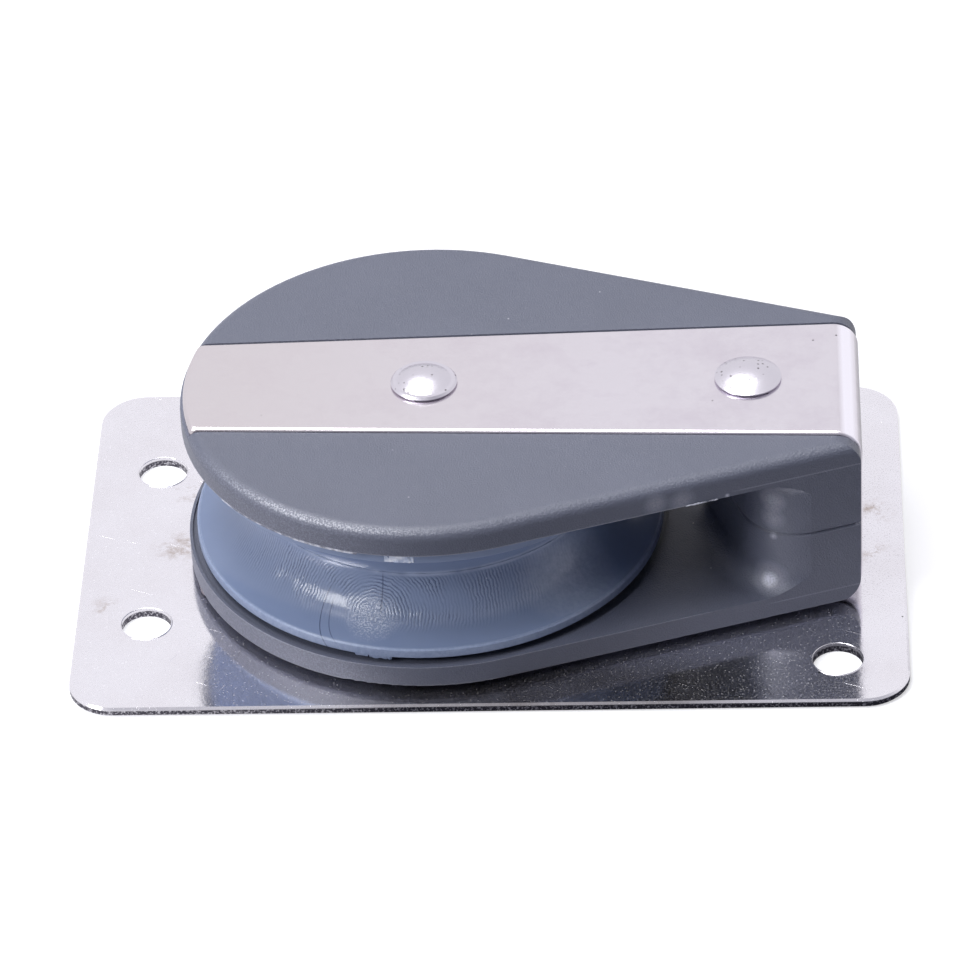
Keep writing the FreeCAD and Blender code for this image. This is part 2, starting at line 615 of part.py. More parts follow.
def cheek_blank(name, cheek_thick, outer_round):
    """one moulding before the strap's grooves, lying on its outer face with its half of the post upwards"""
    body = new_body(name, x=f"-{AXLE_SET}")
    thick = worth(cheek_thick)
    post_top = thick + SIZE["swallow"] / 2
    half = f"(Sizes.head_radius + {cheek_thick})"
    slab = Outline(body, "slab")
    left, right = f"-{half}", "Sizes.tail_reach"
    slab.polygon([(left, left), (right, left), (right, half), (left, half)])
    pad(body, slab, "slab_pad", cheek_thick)
    post = Outline(body, "post")
    post_outline(post)
    pad(body, post, "post_pad", f"{cheek_thick} + Sizes.swallow / 2")
    widest = SIZE["tail_half_width"] + thick
    soften(
        body,
        "post_foot",
        "Sizes.post_foot_round",
        lambda p: near(p.z, thick) and p.x > 0 and abs(p.y) < widest,
    )
    teardrop_trim(body)

    recess = Outline(body, "recess", level=cheek_thick)
    recess.circle((0, 0), SIZE["recess_radius"], "0", "0", "Sizes.recess_radius")
    pocket(body, recess, "recess_cut", depth="Sizes.recess_depth")

    end_half = SIZE["tail_half_width"] - TOLERANCE
    before_end = SIZE["tail_reach"] - TOLERANCE
    soften(
        body,
        "outer_edge",
        outer_round,
        lambda p: near(p.z, 0) and (p.x < before_end or abs(p.y) > end_half),
    )

    corner = Outline(body, "tail_corner", plane="XZ_Plane")
    end, r = SIZE["tail_reach"], SIZE["tail_round"]
    curve = corner.arc((end - r, r), r, -math.pi / 2, 0)
    under = corner.line((end - r, 0), (end, 0))
    beyond = corner.line((end, 0), (end, r))
    corner.blend(curve, START, under, START)
    corner.join(under, END, beyond, START)
    corner.blend(beyond, END, curve, END)
    corner.radius(curve, "Sizes.tail_round")
    corner.place(under, END, x="Sizes.tail_reach", y="0")
    corner.level(under)
    corner.upright(beyond)
    pocket(body, corner, "tail_corner_cut", symmetric=True)

    bores = Outline(body, "sleeve_bores")
    for x, sleeve in (("0", "axle_sleeve_radius"), (RIVET_REACH, "tail_sleeve_radius")):
        size = f"Sizes.{sleeve} + Sizes.sleeve_gap"
        bores.circle((worth(x), 0), worth(size), x, "0", size)
    pocket(body, bores, "sleeve_bores_cut", symmetric=True)

    bore, reach = worth("Sizes.tail_sleeve_radius + Sizes.sleeve_gap"), worth(RIVET_REACH)
    soften(
        body,
        "joint_bevel",
        "Sizes.joint_bevel",
        lambda p: near(p.z, post_top) and math.hypot(p.x - reach, p.y) > bore + TOLERANCE,
        "Chamfer",
    )
    return body


def cheeks():
    """both cheeks: two blanks of one outline, the thicker one turned over, each cut for the strap"""
    room = strap_room()
    lower = cheek_blank("lower_blank", "Sizes.lower_thick", "Sizes.lower_round")
    lower.setExpression("Placement.Base.z", LOWER_FACE)
    upper = cheek_blank("upper_blank", "Sizes.upper_thick", "Sizes.upper_round")
    upper.Placement = FreeCAD.Placement(FreeCAD.Vector(), FreeCAD.Rotation(FreeCAD.Vector(1, 0, 0), 180))
    upper.setExpression("Placement.Base.x", f"-{AXLE_SET}")
    upper.setExpression("Placement.Base.z", UPPER_FACE)
    finished = []
    for name, blank in (("lower_cheek", lower), ("upper_cheek", upper)):
        cut = document.addObject("Part::Cut", name)
        cut.Label = name
        cut.Base = blank
        cut.Tool = room
        cut.Refine = True
        finished.append(cut)
    document.recompute()
    return finished


# Turned pieces


def ring(name, inner, outer, height, x, z):
    """a plain tube or washer that stands on a level"""
    body = new_body(name, x=x, z=z)
    outline = Outline(body, name + "_ring")
    outline.circle((0, 0), worth(outer), "0", "0", outer)
    outline.circle((0, 0), worth(inner), "0", "0", inner)
    pad(body, outline, name + "_pad", height)
    return body


def rivet(name, x, brim, dome_radius, dome_height):
    """a domed head on the strap, a shank through the whole block and a flared end in the plate"""
    body = new_body(name, x=x)
    outline = Outline(body, name + "_profile", plane="XZ_Plane")
    shank, head, flare = SIZE["rivet_radius"], SIZE["rivet_head_radius"], SIZE["rivet_flare"]
    seat, lift, seated = worth(STRAP_TOP), SIZE["head_lift"], head - SIZE["head_hollow"]
    edge, dome, rise = seat + worth(brim), worth(dome_radius), worth(dome_height)
    ball = (dome * dome + rise * rise) / (2 * rise)
    peak = edge + rise
    foot = outline.line((0, 0), (shank + flare, 0))
    cone = outline.line((shank + flare, 0), (shank, flare))
    stem = outline.line((shank, flare), (shank, seat))
    under = outline.line((shank, seat), (seated, seat))
    hollow = outline.line((seated, seat), (head, seat + lift))
    side = outline.line((head, seat + lift), (head, edge))
    curve_start = math.atan2(ball - rise, dome)
    curve = outline.arc((0, peak - ball), ball, curve_start, math.pi / 2)
    axis = outline.line((0, peak), (0, 0))
    run = [foot, cone, stem, under, hollow, side]
    flat_brim = not near(dome, head)
    if flat_brim:
        run.append(outline.line((head, edge), (dome, edge)))
    for first, following in zip(run, run[1:]):
        outline.join(first, END, following, START)
    outline.join(run[-1], END, curve, START)
    outline.join(curve, END, axis, START)
    outline.join(axis, END, foot, START)
    outline.on_origin(foot, START)
    outline.level(foot, under)
    outline.upright(stem, side, axis)
    outline.place(foot, END, x="Sizes.rivet_radius + Sizes.rivet_flare")
    outline.place(cone, END, x="Sizes.rivet_radius", y="Sizes.rivet_flare")
    outline.place(under, START, y=STRAP_TOP)
    outline.place(under, END, x="Sizes.rivet_head_radius - Sizes.head_hollow")
    outline.place(hollow, END, x="Sizes.rivet_head_radius", y=f"{STRAP_TOP} + Sizes.head_lift")
    outline.place(side, END, y=f"{STRAP_TOP} + {brim}")
    if flat_brim:
        outline.level(run[-1])
        outline.place(curve, START, x=dome_radius)
    outline.place(curve, CENTRE, x="0")
    outline.place(curve, END, y=f"{STRAP_TOP} + {brim} + {dome_height}")
    turn(body, outline, name + "_turned")
    if flat_brim:
        soften(
            body,
            name + "_brim",
            "Sizes.brim_bevel",
            lambda p: near(p.z, edge) and near(math.hypot(p.x, p.y), head),
            kind="Chamfer",
        )
    return body


def sheave():
    body = new_body("sheave", x=f"-{AXLE_SET}", z=MID_LEVEL)
    outline = Outline(body, "sheave_profile", plane="XZ_Plane")
    bore = "Sizes.axle_sleeve_radius + Sizes.running_gap"
    rim = "Sizes.sheave_radius"
    ring_start = "Sizes.sheave_radius - Sizes.rim_width"
    web = f"({FLANGE_HALF} - Sizes.web_depth)"
    web_foot = f"Sizes.hub_radius + {HUB_HALF} - {web}"
    web_end = f"{ring_start} - Sizes.web_depth"
    side = [(bore, HUB_HALF), ("Sizes.hub_radius", HUB_HALF), (web_foot, web), (web_end, web)]
    side += [(ring_start, FLANGE_HALF), (rim, FLANGE_HALF), (rim, "Sizes.rope_radius")]
    corners = [(x, f"-{z}") for x, z in side] + [(x, z) for x, z in reversed(side)]
    spots = [(worth(x), worth(z)) for x, z in corners]
    turn_in = len(side)
    edges = []
    for number, spot in enumerate(spots):
        following = spots[(number + 1) % len(spots)]
        if number == turn_in - 1:
            centre = (SIZE["sheave_radius"], 0)
            edges.append(outline.arc(centre, SIZE["rope_radius"], math.pi / 2, 1.5 * math.pi))
        else:
            edges.append(outline.line(spot, following))
    groove = edges[turn_in - 1]
    for number, edge in enumerate(edges):
        following = edges[(number + 1) % len(edges)]
        leaving = START if edge == groove else END
        entering = END if following == groove else START
        outline.join(edge, leaving, following, entering)
        x, z = corners[number]
        at_groove = groove in (edge, edges[number - 1])
        outline.place(edge, END if edge == groove else START, x, None if at_groove else z)
    outline.place(groove, CENTRE, x=rim, y="0")
    outline.radius(groove, "Sizes.rope_radius")
    turn(body, outline, "sheave_turned")
    outer, inner, radius = worth(FLANGE_HALF), SIZE["rope_radius"], SIZE["sheave_radius"]
    soften(
        body,
        "flange_edges",
        "Sizes.flange_bevel",
        lambda p: near(math.hypot(p.x, p.y), radius) and (near(abs(p.z), outer) or near(abs(p.z), inner)),
        "Chamfer",
    )
    return body


plate = base_plate()
strap_body = strap()
lower_cheek, upper_cheek = cheeks()
axle = f"-{AXLE_SET}"
tail = f"{RIVET_REACH} - {AXLE_SET}"
sleeve_bore = "Sizes.rivet_radius + Sizes.rivet_gap"
washer_bore = "Sizes.axle_sleeve_radius + Sizes.rivet_gap"
washer = (washer_bore, "Sizes.washer_radius", "Sizes.washer_thick", axle)
upper_washer_foot = f"{UPPER_FACE} - Sizes.upper_thick + Sizes.recess_depth - Sizes.washer_thick"
sub_parts = [
    plate,
    strap_body,
    lower_cheek,
    upper_cheek,
    sheave(),
    ring("axle_sleeve", sleeve_bore, "Sizes.axle_sleeve_radius", ARM_SPACE, axle, LOWER_ARM_TOP),
    ring("tail_sleeve", sleeve_bore, "Sizes.tail_sleeve_radius", ARM_SPACE, tail, LOWER_ARM_TOP),
    rivet("axle_rivet", axle, "Sizes.axle_brim", "Sizes.axle_dome_radius", "Sizes.axle_dome_height"),
    rivet("tail_rivet", tail, "Sizes.tail_brim", "Sizes.rivet_head_radius", "Sizes.tail_dome_height"),
    ring("lower_thrust_washer", *washer, LOWER_FLOOR),
    ring("upper_thrust_washer", *washer, upper_washer_foot),
]
document.recompute()

for item in document.Objects:
    if "Invalid" in item.State or "Error" in item.State:
        raise RuntimeError(f"{item.Name} is {item.State}")
for piece in sub_parts:
    if piece.Shape.isNull() or not piece.Shape.isValid() or len(piece.Shape.Solids) != 1:
        raise RuntimeError(f"{piece.Label} has no single sound solid")

os.makedirs("parts", exist_ok=True)
for piece in sub_parts:
    piece.Shape.exportStep(f"parts/{piece.Label}.step")
    box = piece.Shape.BoundBox
    print(f"{piece.Label}: {piece.Shape.Volume:.1f} mm3, Z {box.ZMin:.2f} to {box.ZMax:.2f}")
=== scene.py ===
# %% [markdown]
# # A single pulley block on its mounting plate
# The block's solids come packed as a frame, in metres: +X runs from the round head to the tail, Y across
# and Z up. This lesson dresses them as the photograph shows them. The camera comes first, because
# everything else is judged through it, then the light, the finishes, and last the small marks that a mould
# and a press leave.

# %% Load the frame
import math

import bpy
from mathutils import Matrix, Vector


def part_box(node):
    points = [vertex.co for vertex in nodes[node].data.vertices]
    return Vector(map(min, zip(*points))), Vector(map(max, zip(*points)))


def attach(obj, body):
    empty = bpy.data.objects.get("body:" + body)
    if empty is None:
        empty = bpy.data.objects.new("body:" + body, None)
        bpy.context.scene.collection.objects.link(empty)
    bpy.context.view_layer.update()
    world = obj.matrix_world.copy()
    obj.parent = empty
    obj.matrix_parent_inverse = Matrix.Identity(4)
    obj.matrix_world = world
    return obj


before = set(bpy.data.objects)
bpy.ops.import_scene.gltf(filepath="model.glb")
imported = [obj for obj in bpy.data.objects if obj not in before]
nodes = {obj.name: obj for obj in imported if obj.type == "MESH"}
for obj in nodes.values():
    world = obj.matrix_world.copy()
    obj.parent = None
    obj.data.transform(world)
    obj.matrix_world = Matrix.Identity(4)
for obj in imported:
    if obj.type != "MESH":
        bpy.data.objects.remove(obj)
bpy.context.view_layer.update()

MM = 0.001

# %% [markdown]
# ## The camera
# The photograph looks down on the block from about 37 degrees, with a long lens, held a little off level.
# Four plate edges, three screw holes and the outlines of the cheeks and sheave gave these numbers by least
# squares. They could be set by eye with the camera's own angles, but a view built from its forward, right
# and up directions keeps the roll apart from the rest.

# %% Set the camera
AZIMUTH, ELEVATION, ROLL = 3.0047, 36.7627, -2.5976
SENSOR = 36.0
LENS = 228.668
CAMERA_PLACE = (0.029743, -0.591567, 0.453300)
NEAREST, FARTHEST = 0.01, 20

azimuth, elevation, roll = (math.radians(angle) for angle in (AZIMUTH, ELEVATION, ROLL))
forward = Vector((
    -math.sin(azimuth) * math.cos(elevation),
    math.cos(azimuth) * math.cos(elevation),
    -math.sin(elevation),
))
level_right = Vector((math.cos(azimuth), math.sin(azimuth), 0))
level_up = level_right.cross(forward)
right = math.cos(roll) * level_right + math.sin(roll) * level_up
up = math.cos(roll) * level_up - math.sin(roll) * level_right
turned = Matrix((right, up, -forward)).transposed().to_4x4()

lens = bpy.data.cameras.new("photograph")
lens.sensor_width = SENSOR
lens.lens = LENS
lens.clip_start, lens.clip_end = NEAREST, FARTHEST
camera = bpy.data.objects.new("photograph", lens)
camera.matrix_world = Matrix.Translation(CAMERA_PLACE) @ turned
bpy.context.scene.collection.objects.link(camera)
bpy.context.scene.camera = camera
bpy.context.scene.view_settings.view_transform = "Standard"
print("camera at", [round(value, 3) for value in camera.location])

# %% [markdown]
# ## Nodes and colours
# A few helpers serve every finish. Colours are written as they look on a screen, in hex, and the first
# helper turns them into the linear values that a shader mixes. The next adds one node, sets its options
# and joins its inputs, so a material reads as a list of what it is made of. Some nodes have several inputs
# of one name, so theirs go by number. Math takes its terms in order. On Map Range 0 is the value, 1 and 2
# are where it begins and ends, and 3 and 4 what it then gives. On Mix 0 is the share, and 2 and 3, or for
# colours 6 and 7, are what it mixes.

# %% Helpers for materials


def linear(code, alpha=1.0):
    """a hex screen colour as linear red, green, blue and alpha"""
    channels = [int(code[start:start + 2], 16) / 255 for start in (0, 2, 4)]
    return (*(c / 12.92 if c <= 0.04045 else ((c + 0.055) / 1.055) ** 2.4 for c in channels), alpha)


def put(tree, kind, inputs=(), **settings):
    """one node in the tree; an input takes a value, a socket, or a node whose first output it reads"""
    node = tree.nodes.new(kind)
    for name, value in settings.items():
        setattr(node, name, value)
    for socket, value in dict(inputs).items():
        if isinstance(value, bpy.types.Node):
            value = next(output for output in value.outputs if output.enabled)
        if isinstance(value, bpy.types.NodeSocket):
            tree.links.new(value, node.inputs[socket])
        else:
            node.inputs[socket].default_value = value
    return node


def new_material(name):
    """an empty material: itself, its tree, and the place of each point in the piece's own metres"""
    material = bpy.data.materials.new(name)
    material.use_nodes = True
    material.node_tree.nodes.clear()
    tree = material.node_tree
    return material, tree, put(tree, "ShaderNodeTexCoord").outputs["Object"]


def pitch(size):
    """the scale at which a pattern's cells are so many mm wide"""
    return 1 / (size * MM)


def layered(tree, base, *layers):
    """a base colour with layers over it in turn, each the share of it that shows and its colour"""
    colour = linear(base)
    for share, code in layers:
        colour = put(tree, "ShaderNodeMix", {0: share, 6: colour, 7: linear(code)}, data_type="RGBA")
    return colour


print("a screen's middle grey in linear light:", round(linear("808080")[0], 3))

# %% [markdown]
# ## What stood round the block
# The steel and the plastics tell it: white paper on the table, at the back and on both sides, and a dark
# room behind the camera. So a gloss meets white nearly everywhere, and dusk towards the front, deepest on
# the floor. A picture wrapped round the scene could do the same, but two colours and one direction are
# enough.

# %% Helpers for the surroundings
PAPER = "FDFBFF"
ROOM_SIDE = Vector((0.35, -0.94, 0))
DUSK_BEGINS, DUSK_FULL = 0.2, 0.8


def surroundings(tree, towards, darkest):
    """the colour that a gloss finds in a direction from the block, down to the darkest in front"""
    aim = put(tree, "ShaderNodeVectorMath", {0: towards}, operation="NORMALIZE")
    ahead = put(tree, "ShaderNodeVectorMath", {0: aim, 1: ROOM_SIDE}, operation="DOT_PRODUCT")
    dusk = put(tree, "ShaderNodeMapRange", {0: ahead.outputs["Value"], 1: DUSK_BEGINS, 2: DUSK_FULL})
    return layered(tree, PAPER, (dusk, darkest))


def by_ray(tree, lighting, seen, mirrored):
    """one shader for the light on things, one for what is seen, and one for what a gloss finds"""
    path = put(tree, "ShaderNodeLightPath")
    by_eye, through = path.outputs["Is Camera Ray"], path.outputs["Is Transmission Ray"]
    looked = put(tree, "ShaderNodeMath", {0: by_eye, 1: through}, operation="MAXIMUM")
    shown = put(tree, "ShaderNodeMixShader", {0: looked, 1: lighting, 2: seen})
    return put(tree, "ShaderNodeMixShader", {0: path.outputs["Is Glossy Ray"], 1: shown, 2: mirrored})


# %% [markdown]
# ## Floor
# The photograph stands on plain white. Lighting the floor until it clips would bleach the block too, so
# the floor is pale paint, and what the camera or a glass sees of it is lifted to white. It still catches
# the block's shadow. A gloss sees the surroundings there, as it does above the floor.

# %% Lay the floor
FLOOR_SIZE = 6
FLOOR_GAP = 0.02
LIFT_TO_WHITE = 0.55
DUSK_ON_FLOOR = "50505A"

bpy.ops.object.select_all(action="DESELECT")
bpy.ops.mesh.primitive_plane_add(size=FLOOR_SIZE, location=(0, 0, -FLOOR_GAP * MM))
floor = bpy.context.object
floor.name = "floor"
paint, tree, place = new_material("matt white floor paint")
matt = put(tree, "ShaderNodeBsdfDiffuse", {"Color": linear("C6C6CC")})
lift = put(tree, "ShaderNodeEmission", {"Color": linear("FFFFFF"), "Strength": LIFT_TO_WHITE})
lifted = put(tree, "ShaderNodeAddShader", {0: matt, 1: lift})
around = surroundings(tree, place, DUSK_ON_FLOOR)
mirrored = put(tree, "ShaderNodeEmission", {"Color": around, "Strength": 1.0})
put(tree, "ShaderNodeOutputMaterial", {"Surface": by_ray(tree, matt, lifted, mirrored)})
floor.data.materials.append(paint)
print("floor:", FLOOR_SIZE, "m across")

# %% [markdown]
# ## Light
# The world gives little light of its own, because the block's right front is almost unlit. A wide lamp
# overhead greys the tops and fills the rivets' domes, and one at the left front makes the bright flank of
# the round head. A sun would light both sides alike, so the lamps are flat rectangles, as a photographer's
# are.

# %% Light the scene
WORLD_LIGHT = 0.08
DUSK_ABOVE = "A4A4AE"
BLOCK_MIDDLE = (0, 0, 0.01)

world = bpy.data.worlds.new("studio")
world.use_nodes = True
world.node_tree.nodes.clear()
tree = world.node_tree
towards = put(tree, "ShaderNodeTexCoord").outputs["Generated"]
fill = put(tree, "ShaderNodeBackground", {"Color": linear("E9EDFF"), "Strength": WORLD_LIGHT})
white = put(tree, "ShaderNodeBackground", {"Color": linear("FFFFFF"), "Strength": 1.0})
around = surroundings(tree, towards, DUSK_ABOVE)
mirrored = put(tree, "ShaderNodeBackground", {"Color": around, "Strength": 1.0})
put(tree, "ShaderNodeOutputWorld", {"Surface": by_ray(tree, fill, white, mirrored)})
bpy.context.scene.world = world


def softbox(name, at, width, height, watts):
    """a flat rectangular lamp that faces the block, with its place and size in metres"""
    lamp = bpy.data.lights.new(name, "AREA")
    lamp.shape = "RECTANGLE"
    lamp.size, lamp.size_y = width, height
    lamp.energy = watts
    holder = bpy.data.objects.new(name, lamp)
    holder.location = at
    holder.rotation_mode = "QUATERNION"
    holder.rotation_quaternion = (Vector(BLOCK_MIDDLE) - Vector(at)).to_track_quat("-Z", "Y")
    bpy.context.scene.collection.objects.link(holder)


softbox("left_softbox", (-0.50, -0.36, 0.46), 0.26, 0.26, 2.8)
softbox("top_softbox", (-0.14, 0.04, 0.72), 0.62, 0.42, 5.9)
print("lamps:", [light.name for light in bpy.data.lights])

# %% [markdown]
# ## Marks that every finish shares
# A used object is never even. Specks of grit and marks at one place return in most of its finishes, and
# the plate has hair scratches too. Each is a mask from 0 to 1, worked out from real millimetres, so that it
# stays the right size on every piece. Painted pictures could hold such marks, but masks need no picture and
# no seams.

# %% Helpers for marks


def specks(tree, place, spacing, radius, share):
    """round grains, a share of those that a spacing in mm would allow, each up to a radius in mm"""
    cells = put(tree, "ShaderNodeTexVoronoi", {"Vector": place, "Scale": pitch(spacing)})
    lot = put(tree, "ShaderNodeSeparateColor", {0: cells.outputs["Color"]})
    chosen = put(tree, "ShaderNodeMath", {0: lot, 1: share}, operation="LESS_THAN")
    edge = radius / spacing
    away = cells.outputs["Distance"]
    grain = put(tree, "ShaderNodeMapRange", {0: away, 1: 0.5 * edge, 2: edge, 3: 1.0, 4: 0.0})
    return put(tree, "ShaderNodeMath", {0: grain, 1: chosen}, operation="MULTIPLY")


def scratches(tree, place, length, width, share, turn):
    """hair scratches about so long and wide in mm, turned from X by an angle in degrees"""
    scale = (pitch(length), pitch(width), pitch(width))
    angle = math.radians(turn)
    along = put(tree, "ShaderNodeVectorRotate", {"Vector": place, "Angle": angle}, rotation_type="Z_AXIS")
    drawn = put(tree, "ShaderNodeMapping", {"Vector": along, "Scale": scale})
    hair = put(tree, "ShaderNodeTexNoise", {"Vector": drawn, "Scale": 1.0, "Detail": 1.0})
    return put(tree, "ShaderNodeMapRange", {0: hair, 1: 0.80 - share, 2: 0.84 - share})


def spot(tree, place, centre, core, edge):
    """1 within the core radius of a point and 0 beyond the edge radius, all in mm"""
    middle = [value * MM for value in centre]
    away = put(tree, "ShaderNodeVectorMath", {0: place, 1: middle}, operation="DISTANCE").outputs["Value"]
    return put(tree, "ShaderNodeMapRange", {0: away, 1: core * MM, 2: edge * MM, 3: 1.0, 4: 0.0})


def near_value(tree, value, target, core, edge):
    """1 where a value lies within core of a target and 0 beyond edge"""
    off = put(tree, "ShaderNodeMath", {0: value, 1: target}, operation="SUBTRACT")
    off = put(tree, "ShaderNodeMath", {0: off}, operation="ABSOLUTE")
    return put(tree, "ShaderNodeMapRange", {0: off, 1: core, 2: edge, 3: 1.0, 4: 0.0})


def product(tree, *masks):
    """masks and strengths multiplied"""
    result = masks[0]
    for mask in masks[1:]:
        result = put(tree, "ShaderNodeMath", {0: result, 1: mask}, operation="MULTIPLY")
    return result


# %% [markdown]
# ## The plate: bright rolled stainless sheet
# The sheet mirrors the block, but not cleanly: a steel that is only metallic and smooth would look like
# chrome. First comes its colour, with a cloudy haze, brown finger stains, dark grit, and the grime that
# ropes and hands left on the strip in front of the block.

# %% Sheet steel: its colour
PLATE_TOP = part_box("base_plate")[1].z / MM
STAINS = {
    (-38.4, -0.3): 4.0, (-37.6, 11.5): 4.5, (-46.5, -12.0): 2.5,
    (46.2, 10.5): 2.0, (46.6, 5.2): 3.0, (46.4, -3.3): 2.8,
}
GRIME_FRONT, GRIME_BACK = -27, -22
GRIME_MIDDLE, GRIME_THICK, GRIME_REACH = 7, 15, 25

sheet_steel, tree, place = new_material("bright rolled stainless sheet")
haze = put(tree, "ShaderNodeTexNoise", {
    "Vector": place, "Scale": pitch(14.3), "Detail": 4, "Roughness": 0.65,
})
hazed = put(tree, "ShaderNodeMapRange", {0: haze, 1: 0.4, 2: 0.7, 3: 0.0, 4: 0.5})
dirt = put(tree, "ShaderNodeTexNoise", {
    "Vector": place, "Scale": pitch(4.17), "Detail": 5, "Roughness": 0.75,
})
stained = put(tree, "ShaderNodeMapRange", {0: dirt, 1: 0.52, 2: 0.72})

# The stains lie beside the round head and under the tail's corner; each place has its reach, in mm
stains = []
for (x, y), reach in STAINS.items():
    finger = spot(tree, place, (x, y, PLATE_TOP), 0.2 * reach, reach)
    stains.append((product(tree, finger, stained), "A9988C"))

where = put(tree, "ShaderNodeSeparateXYZ", {0: place})
strip = put(tree, "ShaderNodeMapRange", {
    0: where.outputs["Y"], 1: GRIME_FRONT * MM, 2: GRIME_BACK * MM, 3: 1.0, 4: 0.0,
})
midst = near_value(tree, where.outputs["X"], GRIME_MIDDLE * MM, GRIME_THICK * MM, GRIME_REACH * MM)
thick = put(tree, "ShaderNodeMapRange", {0: dirt, 1: 0.3, 2: 0.7, 3: 0.5, 4: 0.85})
grime = product(tree, strip, midst, thick)
grit = specks(tree, place, 2.6, 0.16, 0.16)
tint = layered(tree, "ECEBF1", (hazed, "E0DDE2"), *stains, (grit, "3A3638"), (grime, "8B8684"))
print("plate:", len(STAINS), "stains")

# %% [markdown]
# ## The plate's skin
# The rolls' fine ripple and a few hair scratches bend the mirror image, and the haze dulls it in clouds.
# Dust veils the reflections with pale grains: where it lies, the skin is less metallic and shows its own
# grey.

# %% Sheet steel: its skin
ripple = put(tree, "ShaderNodeTexNoise", {
    "Vector": place, "Scale": pitch(0.909), "Detail": 4, "Roughness": 0.7,
})
one_way, other_way = scratches(tree, place, 9, 0.09, 0.02, 24), scratches(tree, place, 7, 0.08, 0.02, -58)
scratch = put(tree, "ShaderNodeMath", {0: one_way, 1: other_way}, operation="MAXIMUM")
height = put(tree, "ShaderNodeMath", {0: scratch, 1: -1.2, 2: ripple}, operation="MULTIPLY_ADD")
bump = put(tree, "ShaderNodeBump", {"Height": height, "Strength": 0.3, "Distance": 0.03 * MM})
dull = put(tree, "ShaderNodeMapRange", {0: haze, 1: 0.35, 2: 0.65, 3: 0.08, 4: 0.15})
dust = put(tree, "ShaderNodeTexNoise", {"Vector": place, "Scale": pitch(0.238), "Detail": 1})
film = put(tree, "ShaderNodeMapRange", {0: dust, 1: 0.5, 2: 0.75, 3: 0.995, 4: 0.8})
veil = put(tree, "ShaderNodeMix", {0: specks(tree, place, 0.45, 0.11, 0.7), 2: film, 3: 0.66})
skin = put(tree, "ShaderNodeBsdfPrincipled", {
    "Base Color": tint, "Metallic": veil, "Roughness": dull, "Normal": bump,
})
print("plate's colour and skin:", len(tree.nodes), "nodes")

# %% [markdown]
# ## The plate's sheared edge
# Shears cut the sheet's outline and a punch its holes. Both cut cleanly at first and then tear the steel,
# so the lower two thirds of every upright wall are rough and dark, below a rubbed bright rim. A separate
# strip could carry this finish, but the wall's own level and slope are enough to find it.

# %% Sheet steel: its sheared edge
TORN_BELOW, CLEAN_ABOVE = 0.78, 0.92

facing = put(tree, "ShaderNodeSeparateXYZ", {0: put(tree, "ShaderNodeNewGeometry").outputs["True Normal"]})
upright = near_value(tree, facing.outputs["Z"], 0.0, 0.3, 0.6)
under = put(tree, "ShaderNodeMapRange", {
    0: where.outputs["Z"], 1: TORN_BELOW * MM, 2: CLEAN_ABOVE * MM, 3: 1.0, 4: 0.0,
})
tears = put(tree, "ShaderNodeTexNoise", {
    "Vector": place, "Scale": pitch(0.3125), "Detail": 2, "Roughness": 0.7,
})
tears = put(tree, "ShaderNodeMapRange", {0: tears, 1: 0.50, 2: 0.64})
sheared = put(tree, "ShaderNodeBsdfPrincipled", {
    "Base Color": layered(tree, "55535D", (tears, "D8D7DE")), "Metallic": 1.0, "Roughness": 0.5,
})
shown = put(tree, "ShaderNodeMixShader", {0: product(tree, upright, under), 1: skin, 2: sheared})
put(tree, "ShaderNodeOutputMaterial", {"Surface": shown})
print(sheet_steel.name, "has", len(tree.nodes), "nodes")

# %% [markdown]
# ## The strap: satin stainless strip
# The strip is duller than the plate and a little warm, warmer towards the head. It has
# faint smudges all over, a few dark pits, and fine lines along its length from the rolling. A painted
# highlight lies on the fold's turn, and painted shade on its outside beyond it and on the lower arm's
# end, which lies in the cheek's shade and is dirty too. The surface's own direction and level find
# these places, so no mask is painted.

# %% Strip steel
WARM_FROM, WARM_TO = -30, 15
strap_low, strap_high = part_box("strap")

strip_steel, tree, place = new_material("satin stainless strip")
smudge = put(tree, "ShaderNodeTexNoise", {
    "Vector": place, "Scale": pitch(7.7), "Detail": 5, "Roughness": 0.7,
})
smudged = put(tree, "ShaderNodeMapRange", {0: smudge, 1: 0.45, 2: 0.75})
pits = specks(tree, place, 3.0, 0.16, 0.10)
where = put(tree, "ShaderNodeSeparateXYZ", {0: place})
level = where.outputs["Z"]
# The strip's colour turns warmer towards the head
warmer_at_head = put(tree, "ShaderNodeMapRange", {
    0: where.outputs["X"], 1: WARM_FROM * MM, 2: WARM_TO * MM, 3: 0.5, 4: 0.0,
})
facing = put(tree, "ShaderNodeSeparateXYZ", {0: put(tree, "ShaderNodeNewGeometry").outputs["Normal"]})
outward = facing.outputs["X"]
# A painted highlight on the fold's turn, and painted shade on the fold's outside
painted_fold_highlight = near_value(tree, outward, 0.5, 0.15, 0.35)
painted_fold_shade = put(tree, "ShaderNodeMapRange", {0: outward, 1: 0.82, 2: 0.98, 3: 0.0, 4: 0.9})
folded = put(tree, "ShaderNodeMapRange", {0: level, 1: strap_high.z - 5 * MM, 2: strap_high.z - 3 * MM})
# The lower arm's end is painted darker: painted shade under the cheek, with dirt
lower_arm_shade_and_dirt = put(tree, "ShaderNodeMapRange", {
    0: level, 1: strap_low.z + 1.2 * MM, 2: strap_low.z + 2 * MM, 3: 0.6, 4: 0.0,
})
tint = layered(
    tree, "DCD8DF", (smudged, "CFC9D2"), (pits, "4A4648"), (warmer_at_head, "D0C9C8"), (painted_fold_highlight, "F8F6FF"),
    (product(tree, painted_fold_shade, folded), "4E4B57"), (lower_arm_shade_and_dirt, "6B6870"))

